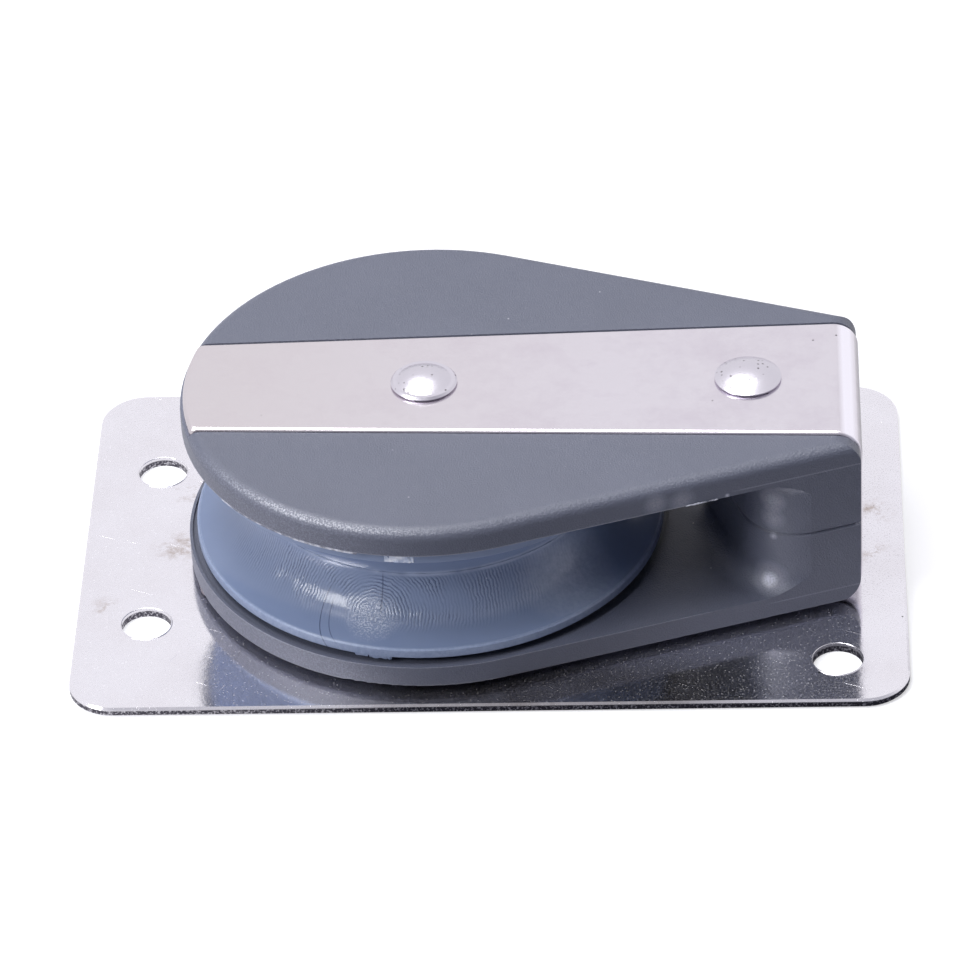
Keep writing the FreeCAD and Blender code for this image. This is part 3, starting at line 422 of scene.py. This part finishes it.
# The rolling lines are 0.4 mm apart and run for 17 mm, so the pattern is drawn out along X
drawn_out = (pitch(16.7), pitch(0.417), pitch(0.417))
rolling = put(tree, "ShaderNodeMapping", {"Vector": place, "Scale": drawn_out})
lines = put(tree, "ShaderNodeTexNoise", {"Vector": rolling, "Scale": 1.0, "Detail": 3, "Roughness": 0.6})
bump = put(tree, "ShaderNodeBump", {"Height": lines, "Strength": 0.08, "Distance": 0.02 * MM})
dull = put(tree, "ShaderNodeMapRange", {0: smudge, 1: 0.3, 2: 0.7, 3: 0.20, 4: 0.27})
steel = put(tree, "ShaderNodeBsdfPrincipled", {
    "Base Color": tint, "Metallic": 1.0, "Roughness": dull, "Normal": bump,
})
put(tree, "ShaderNodeOutputMaterial", {"Surface": steel})
print(strip_steel.name, "has", len(tree.nodes), "nodes")

# %% [markdown]
# ## Rivets and tubes: peened stainless
# A set and a hammer closed the heads, so their domes carry small dents and black flecks, and they shine
# more than the strip. The same steel, turned, makes the tubes inside. Dents of 1 mm could be sculpted, but
# on a dome of 8 mm a bump gives the same broken shine.

# %% Rivet steel
rivet_steel, tree, place = new_material("peened stainless rivet")
dents = put(tree, "ShaderNodeTexNoise", {
    "Vector": place, "Scale": pitch(1.11), "Detail": 3, "Roughness": 0.6,
})
facets = put(tree, "ShaderNodeTexVoronoi", {"Vector": place, "Scale": pitch(0.667)})
facet = facets.outputs["Distance"]
height = put(tree, "ShaderNodeMath", {0: facet, 1: 0.5, 2: dents}, operation="MULTIPLY_ADD")
bump = put(tree, "ShaderNodeBump", {"Height": height, "Strength": 0.22, "Distance": 0.05 * MM})
tint = layered(tree, "D2CFD8", (specks(tree, place, 0.55, 0.16, 0.3), "45413F"))
steel = put(tree, "ShaderNodeBsdfPrincipled", {
    "Base Color": tint, "Metallic": 1.0, "Roughness": 0.27, "Normal": bump,
})
put(tree, "ShaderNodeOutputMaterial", {"Surface": steel})
print(rivet_steel.name, "has", len(tree.nodes), "nodes")

# %% [markdown]
# ## The cheeks: charcoal moulded nylon
# The mould was spark eroded, so the skin has a fine even grain, over the soft waves of an orange's peel.
# The real grain is finer than the picture's points, so it is drawn 0.2 mm wide, where it just shows. Dust
# and a little lint lie on it.

# %% Cheek plastic: its grain
nylon, tree, place = new_material("charcoal moulded nylon")
grain = put(tree, "ShaderNodeTexNoise", {
    "Vector": place, "Scale": pitch(0.2083), "Detail": 2, "Roughness": 0.6,
})
peel = put(tree, "ShaderNodeTexNoise", {
    "Vector": place, "Scale": pitch(1.54), "Detail": 2, "Roughness": 0.5,
})
cloud = put(tree, "ShaderNodeTexNoise", {
    "Vector": place, "Scale": pitch(11.1), "Detail": 4, "Roughness": 0.6,
})
dust = product(tree, specks(tree, place, 0.8, 0.06, 0.10), 0.5)
lint = specks(tree, place, 2.2, 0.13, 0.2)
height = put(tree, "ShaderNodeMath", {0: peel, 1: 0.5, 2: grain}, operation="MULTIPLY_ADD")
bump = put(tree, "ShaderNodeBump", {"Height": height, "Strength": 0.9, "Distance": 0.1 * MM})
print("cheeks' grain and dust:", len(tree.nodes), "nodes")

# %% [markdown]
# ## Scuffs and painted highlights on the cheeks
# Something hard has scuffed the tail post's foot, and the side was rubbed where the tail begins. A
# scuff whitens the tips of the grain. Painted highlights stand with them: a glint and a soft glow at the
# post's foot, a sheen down its upper half, and a short glint under its parting line. Each is a round
# spot, broken up by the grain.

# %% Cheek plastic: its scuffs and painted highlights
# Each scuff or painted highlight has its middle and its reach in mm, and how much of the skin it whitens
SCUFFS_AND_HIGHLIGHTS = [
    # A scuff at the post's foot with a painted glint, and a painted glow round it
    ((33.6, -14.8, 6.4), 1.2, 0.95),
    ((33.7, -14.8, 6.8), 2.6, 0.3),
    # A painted sheen down the post's upper half
    ((33.9, -14.8, 18.2), 2.0, 0.36),
    ((33.9, -14.8, 15.6), 1.9, 0.26),
    # A painted glint under the post's parting line
    ((34.1, -14.7, 12.9), 0.6, 0.5),
    # The side rubbed where the tail begins, and two small nicks
    ((20.2, -21.4, 23.0), 1.7, 0.22),
    ((23.4, -20.5, 22.6), 1.9, 0.2),
    ((28.6, -18.5, 21.9), 0.4, 0.8),
    ((44.0, -13.0, 13.4), 0.4, 0.8),
]
wear_and_sheen_mottle = put(tree, "ShaderNodeMapRange", {0: grain, 1: 0.38, 2: 0.56, 3: 0.6, 4: 1.0})
scuffs_and_highlights = []
for centre, reach, strength in SCUFFS_AND_HIGHLIGHTS:
    mark_spot = spot(tree, place, centre, 0.25 * reach, reach)
    scuffs_and_highlights.append((product(tree, mark_spot, wear_and_sheen_mottle, strength), "D8DAEA"))
print("cheeks:", len(SCUFFS_AND_HIGHLIGHTS), "scuffs_and_highlights")

# %% [markdown]
# ## Painted highlights along the cheeks' edges
# Painted highlights draw faint pale lines round the cheeks' sides, finer than a hair, where edges and
# creases would catch the light. Two run along the tail, on the mould's parting line where the cheeks meet
# the post, partly pale flash and partly painted highlight, and two round the head, on the lips' edges.
# They have no depth to speak of, so colour alone draws them, at their level and only on upright walls.

# %% Cheek plastic: its painted edge highlights
# The tail's lines have their level, the X where they begin and their strength, and all lengths are in mm
TAIL_HIGHLIGHT_LINES = [(22.3, 29, 0.16), (4.4, 33, 0.14)]
TAIL_FADE = 2
HEAD_HIGHLIGHT_LEVELS = (5.2, 21.7)
HEAD_FADE, HEAD_END = 24, 28

where = put(tree, "ShaderNodeSeparateXYZ", {0: place})
facing = put(tree, "ShaderNodeSeparateXYZ", {0: put(tree, "ShaderNodeNewGeometry").outputs["True Normal"]})
upright = near_value(tree, facing.outputs["Z"], 0.0, 0.2, 0.4)
painted_edge_highlights = []
# Painted highlights: pale lines along the cheeks' edges and creases
for level, begin, strength in TAIL_HIGHLIGHT_LINES:
    line = near_value(tree, where.outputs["Z"], level * MM, 0.03 * MM, 0.12 * MM)
    along = put(tree, "ShaderNodeMapRange", {
        0: where.outputs["X"], 1: begin * MM, 2: (begin + TAIL_FADE) * MM,
    })
    painted_edge_highlights.append((product(tree, line, along, upright, strength), "D8DAEA"))
for level in HEAD_HIGHLIGHT_LEVELS:
    line = near_value(tree, where.outputs["Z"], level * MM, 0.04 * MM, 0.16 * MM)
    along = put(tree, "ShaderNodeMapRange", {
        0: where.outputs["X"], 1: HEAD_FADE * MM, 2: HEAD_END * MM, 3: 1.0, 4: 0.0,
    })
    painted_edge_highlights.append((product(tree, line, along, upright, wear_and_sheen_mottle, 0.35), "C4C6D6"))
print("cheeks:", len(painted_edge_highlights), "printed lines")

# %% [markdown]
# ## The cheeks' painted glints
# Painted glints lie on the tips of the grain where the outer edge turns over, most on the round head's
# left front quarter, where the lamp falls, and a painted sheen pales its sides there. A stronger bump
# would make glints too, but everywhere, so their places are chosen by the slope, the level and the
# distance along the block.

# %% Cheek plastic: its glints and its shader
GLINT_BEGINS, GLINT_FULL = -34, -24
GLINT_WANES, GLINT_LOW = -16, -4
UPPER_EDGE = (23, 23.5)

turning = near_value(tree, facing.outputs["Z"], 0.74, 0.08, 0.24)
tips = put(tree, "ShaderNodeMapRange", {0: grain, 1: 0.44, 2: 0.66, 3: 0.1, 4: 1.0})
begun = put(tree, "ShaderNodeMapRange", {0: where.outputs["X"], 1: GLINT_BEGINS * MM, 2: GLINT_FULL * MM})
waning = put(tree, "ShaderNodeMapRange", {
    0: where.outputs["X"], 1: GLINT_WANES * MM, 2: GLINT_LOW * MM, 3: 0.6, 4: 0.11,
})
top = put(tree, "ShaderNodeMapRange", {
    0: where.outputs["Z"], 1: UPPER_EDGE[0] * MM, 2: UPPER_EDGE[1] * MM,
})
# Painted glints on the grain's tips at the turning edge, and a painted sheen on the sides beside them
painted_glints = product(tree, turning, tips, begun, waning, top)
sides = near_value(tree, facing.outputs["Z"], 0.0, 0.5, 0.8)
painted_side_sheen = product(tree, sides, tips, waning, waning, 0.7)
tint = layered(
    tree, "585C6C", (cloud, "616576"), (dust, "9A9AA8"), (lint, "B9B9C4"), *scuffs_and_highlights, *painted_edge_highlights,
    (painted_glints, "E6E8F4"), (painted_side_sheen, "A6A8BA"))
plastic = put(tree, "ShaderNodeBsdfPrincipled", {
    "Base Color": tint, "Roughness": 0.42, "IOR": 1.53, "Normal": bump,
})
put(tree, "ShaderNodeOutputMaterial", {"Surface": plastic})
print(nylon.name, "has", len(tree.nodes), "nodes")

# %% [markdown]
# ## The sheave: where its marks lie
# The marks on the sheave follow its mould: the gate where the melt came in, a seam near it, and the line
# where the halves met. All are named by their angle round the axle and their level above the sheave's
# middle, so they turn with it.

# %% Sizes of the sheave
sheave_low, sheave_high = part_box("sheave")
AXLE = Vector(((sheave_low.x + sheave_high.x) / 2, 0, (sheave_low.z + sheave_high.z) / 2)) / MM
SHEAVE_RADIUS = (sheave_high.x - sheave_low.x) / 2 / MM
# The groove is a half circle for the rope, between two flanges as thick as this at the rim
GROOVE_RADIUS = 6.4
FLANGE = 1.35
# Angles are in degrees round the axle, from +X
GATE_ANGLE = -104.2
SEAM_ANGLE = -102.3


def on_axle(radius, angle, level):
    """a point in mm at a radius and an angle in degrees round the axle, above the sheave's middle"""
    turn = math.radians(angle)
    return Vector((AXLE.x + radius * math.cos(turn), radius * math.sin(turn), AXLE.z + level))


gate = on_axle(24.6, GATE_ANGLE, -4.7)
print("gate at", [round(value, 1) for value in gate], "mm")

# %% [markdown]
# ## The sheave: blue grey moulded acetal
# The melt froze in ripples as it spread from the gate, and they show in the groove like the lines of a
# fingerprint. The rings stand round the gate, less than half a millimetre apart, and stop at the mould
# line. At their heart the skin froze in pebbles instead. They are far too fine to model, so they are a
# bump, with a painted highlight on each crest and painted shade in each valley.

# %% Sheave plastic: its frozen ripples
RIPPLE_PITCH = 0.4
# The wave texture makes 20 / 2 pi rings to a unit at a scale of 1
RINGS_TO_A_UNIT = 20 / (2 * math.pi)

acetal, tree, place = new_material("blue grey moulded acetal")
from_gate = put(tree, "ShaderNodeVectorMath", {0: place, 1: gate * MM}, operation="SUBTRACT")
ripples = put(tree, "ShaderNodeTexWave", {
    "Vector": from_gate, "Scale": pitch(RIPPLE_PITCH) / RINGS_TO_A_UNIT, "Distortion": 6.0, "Detail": 3.0,
    "Detail Scale": 0.8, "Detail Roughness": 0.65,
}, wave_type="RINGS", rings_direction="SPHERICAL")
from_axle = put(tree, "ShaderNodeVectorMath", {0: place, 1: AXLE * MM}, operation="SUBTRACT")
where = put(tree, "ShaderNodeSeparateXYZ", {0: from_axle})
level = where.outputs["Z"]
lower = put(tree, "ShaderNodeMapRange", {0: level, 1: -5.9 * MM, 2: -4.7 * MM})
upper = put(tree, "ShaderNodeMapRange", {0: level, 1: -0.9 * MM, 2: -0.2 * MM, 3: 1.0, 4: 0.0})
reach = spot(tree, place, gate, 12, 27)
heart = spot(tree, place, gate, 1.0, 2.8)
calm = put(tree, "ShaderNodeMapRange", {0: heart, 1: 0.0, 2: 1.0, 3: 1.0, 4: 0.1})
patchy = put(tree, "ShaderNodeTexNoise", {"Vector": place, "Scale": pitch(3.85), "Detail": 2})
patchy = put(tree, "ShaderNodeMapRange", {0: patchy, 1: 0.38, 2: 0.58, 3: 0.2, 4: 1.0})
rippled = product(tree, lower, upper, reach, patchy, calm)
waves = product(tree, ripples.outputs["Fac"], rippled)
skin = put(tree, "ShaderNodeTexNoise", {
    "Vector": place, "Scale": pitch(0.588), "Detail": 3, "Roughness": 0.7,
})
pebbles = put(tree, "ShaderNodeTexNoise", {"Vector": place, "Scale": pitch(0.2174), "Detail": 2})
pebbled = product(tree, spot(tree, place, gate, 1.6, 4.2), pebbles, 1.8)
height = put(tree, "ShaderNodeMath", {0: skin, 1: 0.12, 2: waves}, operation="MULTIPLY_ADD")
height = put(tree, "ShaderNodeMath", {0: height, 1: pebbled}, operation="ADD")
bump = put(tree, "ShaderNodeBump", {"Height": height, "Strength": 1.0, "Distance": 0.035 * MM})
print("ripples: scale", round(ripples.inputs["Scale"].default_value), "for rings", RIPPLE_PITCH, "mm apart")

# %% [markdown]
# ## The groove's colour
# Each ripple has painted shade in its valley and a painted highlight on its crest, and the pebbles at the
# gate look frosted, their pale colour partly a painted highlight. Two dark lines stand left of the gate,
# where a second push of melt overran the first, a seam runs up from it, and a pale smear follows the
# mould line. A soft pale patch on the right of the groove is a painted sheen.

# %% Sheave plastic: the groove's marks
DARK_MARK_AND_SHADE, PALE_MARK_AND_HIGHLIGHT = "3A4560", "B9C4DC"
# The melt lines' distance from the gate in mm, and their strength
MELT_LINES = {6.5: 0.75, 5.4: 0.6}
gate_across = (gate - AXLE).x

# Painted shade darkens each ripple's valley, and a painted highlight pales its crest
painted_valley_shade = put(tree, "ShaderNodeMapRange", {0: ripples.outputs["Fac"], 1: 0.0, 2: 0.2, 3: 0.85, 4: 0.0})
painted_crest_highlight = put(tree, "ShaderNodeMapRange", {0: ripples.outputs["Fac"], 1: 0.85, 2: 1.0, 3: 0.0, 4: 0.45})
away = put(tree, "ShaderNodeVectorMath", {0: from_gate}, operation="LENGTH").outputs["Value"]
aside = put(tree, "ShaderNodeMapRange", {
    0: where.outputs["X"], 1: (gate_across - 5) * MM, 2: (gate_across - 4) * MM, 3: 1.0, 4: 0.0,
})
low = put(tree, "ShaderNodeMapRange", {0: level, 1: -3.6 * MM, 2: -2.6 * MM, 3: 1.0, 4: 0.0})
melt_lines = []
for ring, strength in MELT_LINES.items():
    line = near_value(tree, away, ring * MM, 0.02 * MM, 0.1 * MM)
    melt_lines.append((product(tree, line, aside, low, strength), DARK_MARK_AND_SHADE))
# The pebbles' pale frost is partly a painted highlight, where the lamp's gloss falls on the gate
frost = put(tree, "ShaderNodeMapRange", {0: pebbles, 1: 0.5, 2: 0.6, 3: 0.1, 4: 0.6})
gate_frost_and_highlight = product(tree, spot(tree, place, gate, 1.4, 3.6), frost)
angle = put(tree, "ShaderNodeMath", {0: where.outputs["Y"], 1: where.outputs["X"]}, operation="ARCTAN2")
seam = near_value(tree, angle, math.radians(SEAM_ANGLE), 0.001, 0.006)
seam_band = near_value(tree, level, -2.4 * MM, 1.6 * MM, 2.6 * MM)
smear = product(tree, near_value(tree, level, 0.0, 0.12 * MM, 0.5 * MM), patchy, 0.65)
# A painted sheen: a soft pale patch on the groove's right
uneven_and_sheen = put(tree, "ShaderNodeMapRange", {0: skin, 1: 0.35, 2: 0.65, 3: 0.45, 4: 0.8})
wear_and_sheen_mottle = product(tree, spot(tree, place, on_axle(23.7, -44, -4.3), 1.0, 7.5), uneven_and_sheen)
groove_marks = [
    (product(tree, painted_valley_shade, rippled), DARK_MARK_AND_SHADE), (product(tree, painted_crest_highlight, rippled), PALE_MARK_AND_HIGHLIGHT), *melt_lines,
    (gate_frost_and_highlight, "D4DAEA"), (product(tree, seam, seam_band, 0.7), DARK_MARK_AND_SHADE), (smear, PALE_MARK_AND_HIGHLIGHT), (wear_and_sheen_mottle, "C4CCE0"),
]
print("groove:", len(groove_marks), "marks")

# %% [markdown]
# ## The rims
# The flanges' rims were cut clean after moulding, so they are duller than the groove, and the lower one is
# frosted in patches. The upper rim is left plain and darker, as painted shade under the cheek's lip. The
# distance from the axle finds them.

# %% Sheave plastic: its rims and its shader
outwards = put(tree, "ShaderNodeCombineXYZ", {0: where.outputs["X"], 1: where.outputs["Y"]})
radius = put(tree, "ShaderNodeVectorMath", {0: outwards}, operation="LENGTH").outputs["Value"]
rim = put(tree, "ShaderNodeMapRange", {
    0: radius, 1: (SHEAVE_RADIUS - 0.5) * MM, 2: (SHEAVE_RADIUS - 0.15) * MM,
})
# Only the lower rim is paled; the upper stays darker as painted shade under the lip
below = put(tree, "ShaderNodeMath", {0: level, 1: 0.0}, operation="LESS_THAN")
cut = put(tree, "ShaderNodeMapRange", {0: skin, 1: 0.35, 2: 0.65, 3: 0.05, 4: 0.4})
cloud = put(tree, "ShaderNodeTexNoise", {
    "Vector": place, "Scale": pitch(8.33), "Detail": 4, "Roughness": 0.6,
})
tint = layered(
    tree, "7B8AAA", (cloud, "8694B2"), *groove_marks, (product(tree, rim, cut, below), "A9B4CE"),
    (specks(tree, place, 1.6, 0.1, 0.08), "C4CCE0"))
dull = put(tree, "ShaderNodeMapRange", {0: rim, 1: 0.0, 2: 1.0, 3: 0.19, 4: 0.42})
plastic = put(tree, "ShaderNodeBsdfPrincipled", {
    "Base Color": tint, "Roughness": dull, "IOR": 1.48, "Normal": bump,
})
put(tree, "ShaderNodeOutputMaterial", {"Surface": plastic})
print(acetal.name, "has", len(tree.nodes), "nodes")

# %% [markdown]
# ## The thrust washers: natural acetal
# The washers hide in the hub's gaps. Only their edges can be seen, from the side, where they look like
# milky ivory, so a faint cloud in the colour is enough.

# %% Washer plastic
ivory, tree, place = new_material("natural acetal washer")
milk = put(tree, "ShaderNodeTexNoise", {"Vector": place, "Scale": pitch(2.5), "Detail": 3})
bump = put(tree, "ShaderNodeBump", {"Height": milk, "Strength": 0.2, "Distance": 0.02 * MM})
plastic = put(tree, "ShaderNodeBsdfPrincipled", {
    "Base Color": layered(tree, "D8D4C6", (milk, "E6E2D6")), "Roughness": 0.4, "Normal": bump,
})
put(tree, "ShaderNodeOutputMaterial", {"Surface": plastic})
print(ivory.name, "has", len(tree.nodes), "nodes")

# %% [markdown]
# ## Torn edges
# Where plastic is torn from the mould's gap it turns pale and dull, nearly white, in its own hue. Both
# plastics do the same, so one function makes either from its two colours.

# %% Torn plastic


def torn(name, dark, pale):
    """a dull plastic mottled between two colours, in patches of about a millimetre"""
    material, tree, place = new_material(name)
    mottle = put(tree, "ShaderNodeTexNoise", {"Vector": place, "Scale": pitch(1.11), "Detail": 3})
    mottle = put(tree, "ShaderNodeMapRange", {0: mottle, 1: 0.4, 2: 0.6})
    shade = layered(tree, dark, (mottle, pale))
    plastic = put(tree, "ShaderNodeBsdfPrincipled", {"Base Color": shade, "Roughness": 0.55, "IOR": 1.5})
    put(tree, "ShaderNodeOutputMaterial", {"Surface": plastic})
    return material


torn_acetal = torn("torn blue grey acetal", "B2BED8", "F2F5FF")
torn_nylon_and_edge_highlight = torn("torn charcoal nylon", "6F7180", "D8DAE6")
print("materials:", [material.name for material in bpy.data.materials])

# %% [markdown]
# ## Dressing the solids
# The frame's solids already have their true shapes and places, so each only takes its finish. Patterns
# read the piece's own metres, and need no unwrapping.

# %% Give each solid its finish
finishes = {
    "base_plate": sheet_steel,
    "strap": strip_steel,
    "axle_rivet": rivet_steel,
    "tail_rivet": rivet_steel,
    "axle_sleeve": rivet_steel,
    "tail_sleeve": rivet_steel,
    "lower_cheek": nylon,
    "upper_cheek": nylon,
    "lower_thrust_washer": ivory,
    "upper_thrust_washer": ivory,
    "sheave": acetal,
}
for name, material in finishes.items():
    nodes[name].data.materials.clear()
    nodes[name].data.materials.append(material)
print("finished:", len(finishes), "solids")

# %% [markdown]
# ## The mould line: a bead round the groove
# Where the two halves of the sheave's mould met, a thread of plastic stands round the groove's bottom. It
# is a thin ring, uneven along its length, so a slim torus pushed about by clouds makes it. A bevelled edge
# would be too even.

# %% Model the mould line
MOULD_LINE_THICKNESS = 0.2
GROOVE_FLOOR = SHEAVE_RADIUS - GROOVE_RADIUS

ragged = bpy.data.textures.new("ragged", "CLOUDS")
ragged.noise_scale = 0.8 * MM


def bead(name, radius, centre, thickness, unevenness, segments):
    """a thin uneven ring, all in mm"""
    bpy.ops.object.select_all(action="DESELECT")
    bpy.ops.mesh.primitive_torus_add(
        major_radius=radius * MM, minor_radius=thickness / 2 * MM,
        major_segments=segments, minor_segments=6, location=[value * MM for value in centre])
    piece = bpy.context.object
    piece.name = name
    bpy.ops.object.transform_apply(location=True, rotation=True, scale=True)
    uneven_and_sheen = piece.modifiers.new("uneven_and_sheen", "DISPLACE")
    uneven_and_sheen.texture = ragged
    uneven_and_sheen.texture_coords = "LOCAL"
    uneven_and_sheen.strength = unevenness * MM
    bpy.ops.object.modifier_apply(modifier="uneven_and_sheen")
    bpy.ops.object.shade_smooth()
    return piece


mould_line = bead("mould_line", GROOVE_FLOOR, on_axle(0, 0, 0), MOULD_LINE_THICKNESS, 0.2, 360)
mould_line.data.materials.append(acetal)
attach(mould_line, "sheave")
print("mould line:", len(mould_line.data.polygons), "faces")

# %% [markdown]
# ## Burrs: where the punch came through
# A burr stands round each of the plate's screw holes. It is the same kind of bead, only finer, so one is
# made and copied to the other holes, each copy with a mesh of its own.

# %% Model the burrs
HOLE_RADIUS = 3.0
BURR_GAP = 0.08
BURR_THICKNESS = 0.16
HEAD_HOLE, TAIL_HOLE = (-41.5, 15.25), (41.5, 23.75)
HOLES = [(x, side * y) for x, y in (HEAD_HOLE, TAIL_HOLE) for side in (-1, 1)]

first_burr = bead("burr_0", HOLE_RADIUS + BURR_GAP, (0, 0, PLATE_TOP), BURR_THICKNESS, 0.04, 96)
first_burr.data.materials.append(sheet_steel)
burrs = [first_burr]
for count in range(1, len(HOLES)):
    burr = first_burr.copy()
    burr.name = f"burr_{count}"
    burr.data = first_burr.data.copy()
    bpy.context.scene.collection.objects.link(burr)
    burrs.append(burr)
for burr, (x, y) in zip(burrs, HOLES):
    bpy.ops.object.select_all(action="DESELECT")
    burr.select_set(True)
    bpy.context.view_layer.objects.active = burr
    burr.location = (x * MM, y * MM, 0)
    bpy.ops.object.transform_apply(location=True, rotation=False, scale=False)
    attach(burr, "frame")
print("burrs:", [burr.name for burr in burrs])

# %% [markdown]
# ## Flash: where the moulds did not quite close
# A thin fin of nylon hangs from the upper cheek's lower edge, along the round head's left side and again
# where the tail begins. A chip of acetal stands under the sheave's upper rim, by its gate, and torn flash
# hangs from its lower rim. A fin is an arc or a line drawn up into a ribbon, shaken and given a skin's
# thickness.
# Along the cheek's lip, the fins' pale torn colour is partly a painted highlight on that edge.

# %% Helpers for flash
# An arc has a point at every half degree, and a line is cut into thirteen lengths
FIN_STEP = 0.5
LINE_CUTS = 12


def arc_ribbon(radius, start, stop, foot, height):
    """a thin upright ribbon along an arc round the axle, in mm and degrees"""
    bpy.ops.object.select_all(action="DESELECT")
    bpy.ops.mesh.primitive_circle_add(
        vertices=round(360 / FIN_STEP), radius=radius * MM, location=(AXLE.x * MM, 0, foot * MM))
    piece = bpy.context.object
    bpy.ops.object.transform_apply(location=True, rotation=True, scale=True)
    bpy.ops.object.mode_set(mode="EDIT")
    bpy.ops.mesh.select_mode(type="VERT")
    bpy.ops.mesh.select_all(action="DESELECT")
    bpy.ops.object.mode_set(mode="OBJECT")
    for vertex in piece.data.vertices:
        angle = math.degrees(math.atan2(vertex.co.y, vertex.co.x - AXLE.x * MM))
        vertex.select = not start <= angle <= stop
    bpy.ops.object.mode_set(mode="EDIT")
    bpy.ops.mesh.delete(type="VERT")
    bpy.ops.mesh.select_all(action="SELECT")
    bpy.ops.mesh.extrude_region_move(TRANSFORM_OT_translate={"value": (0, 0, height * MM)})
    bpy.ops.object.mode_set(mode="OBJECT")
    return piece


def line_ribbon(begin, end, foot, height):
    """a thin upright ribbon along a straight line, in mm"""
    run = Vector(end) - Vector(begin)
    middle = (Vector(begin) + Vector(end)) / 2
    bpy.ops.object.select_all(action="DESELECT")
    bpy.ops.mesh.primitive_plane_add(
        size=MM, location=(middle.x * MM, middle.y * MM, (foot + height / 2) * MM),
        rotation=(math.radians(90), 0, math.atan2(run.y, run.x)))
    piece = bpy.context.object
    piece.scale = (run.length, height, 1)
    bpy.ops.object.transform_apply(location=True, rotation=True, scale=True)
    bpy.ops.object.mode_set(mode="EDIT")
    bpy.ops.mesh.select_all(action="SELECT")
    bpy.ops.mesh.subdivide(number_cuts=LINE_CUTS)
    bpy.ops.object.mode_set(mode="OBJECT")
    return piece


def fin(piece, name, shake, thickness, seed, body, material):
    """a ribbon made ragged and thick, then given to its body"""
    piece.name = name
    bpy.ops.object.mode_set(mode="EDIT")
    bpy.ops.mesh.select_all(action="SELECT")
    bpy.ops.transform.vertex_random(offset=shake * MM, seed=seed)
    bpy.ops.object.mode_set(mode="OBJECT")
    skinned = piece.modifiers.new("skinned", "SOLIDIFY")
    skinned.thickness = thickness * MM
    skinned.offset = 0
    bpy.ops.object.modifier_apply(modifier="skinned")
    piece.data.materials.append(material)
    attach(piece, body)
    return piece


# %% [markdown]
# ## Each fin in its place
# The fins lie where the photograph shows pale torn edges. Their angles are read round the axle from +X,
# and every fin stands just inside the wall that it hangs from, so that it grows out of the plastic.

# %% Model the flash
# In mm: the level of the upper cheek's lower edge, the round head's radius, and two levels on the sheave
LIP = 21.7
HEAD_RADIUS = 29.4
CHIP_FOOT = AXLE.z + 6.65
RIM_FOOT = AXLE.z - GROOVE_RADIUS - FLANGE

fins = [
    # The lip's fins are pale flash and partly a painted highlight along the upper cheek's lower edge
    fin(arc_ribbon(HEAD_RADIUS - 0.04, -143, -120, LIP - 0.14, 0.16), "lip_flash_left",
        0.04, 0.08, 3, "frame", torn_nylon_and_edge_highlight),
    fin(arc_ribbon(HEAD_RADIUS - 0.03, -120, -104, LIP - 0.2, 0.26), "lip_flash_middle",
        0.02, 0.1, 4, "frame", torn_nylon_and_edge_highlight),
    fin(line_ribbon((23.8, -20.35), (27.5, -19.08), LIP - 0.04, 0.12), "lip_flash_right",
        0.08, 0.05, 5, "frame", torn_nylon_and_edge_highlight),
    fin(arc_ribbon(SHEAVE_RADIUS - 0.03, -98.1, -90.9, CHIP_FOOT, 0.95), "gate_chip",
        0.1, 0.14, 7, "sheave", torn_acetal),
    fin(arc_ribbon(SHEAVE_RADIUS - 0.08, -107, -103.5, RIM_FOOT - 0.12, 0.3), "rim_flash_left",
        0.09, 0.1, 9, "sheave", acetal),
    fin(arc_ribbon(SHEAVE_RADIUS - 0.08, -103.5, -97.5, RIM_FOOT - 0.22, 0.4), "rim_flash_right",
        0.11, 0.1, 11, "sheave", acetal),
]
for piece in fins:
    corners = [Vector(corner) / MM for corner in piece.bound_box]
    print(piece.name, len(piece.data.polygons), "faces from", corners[0], "to", corners[6])

# %% [markdown]
# ## The end
# The view layer is brought up to date. A visual model must not outgrow its solids.

# %% Bring the scene up to date
bpy.context.view_layer.update()
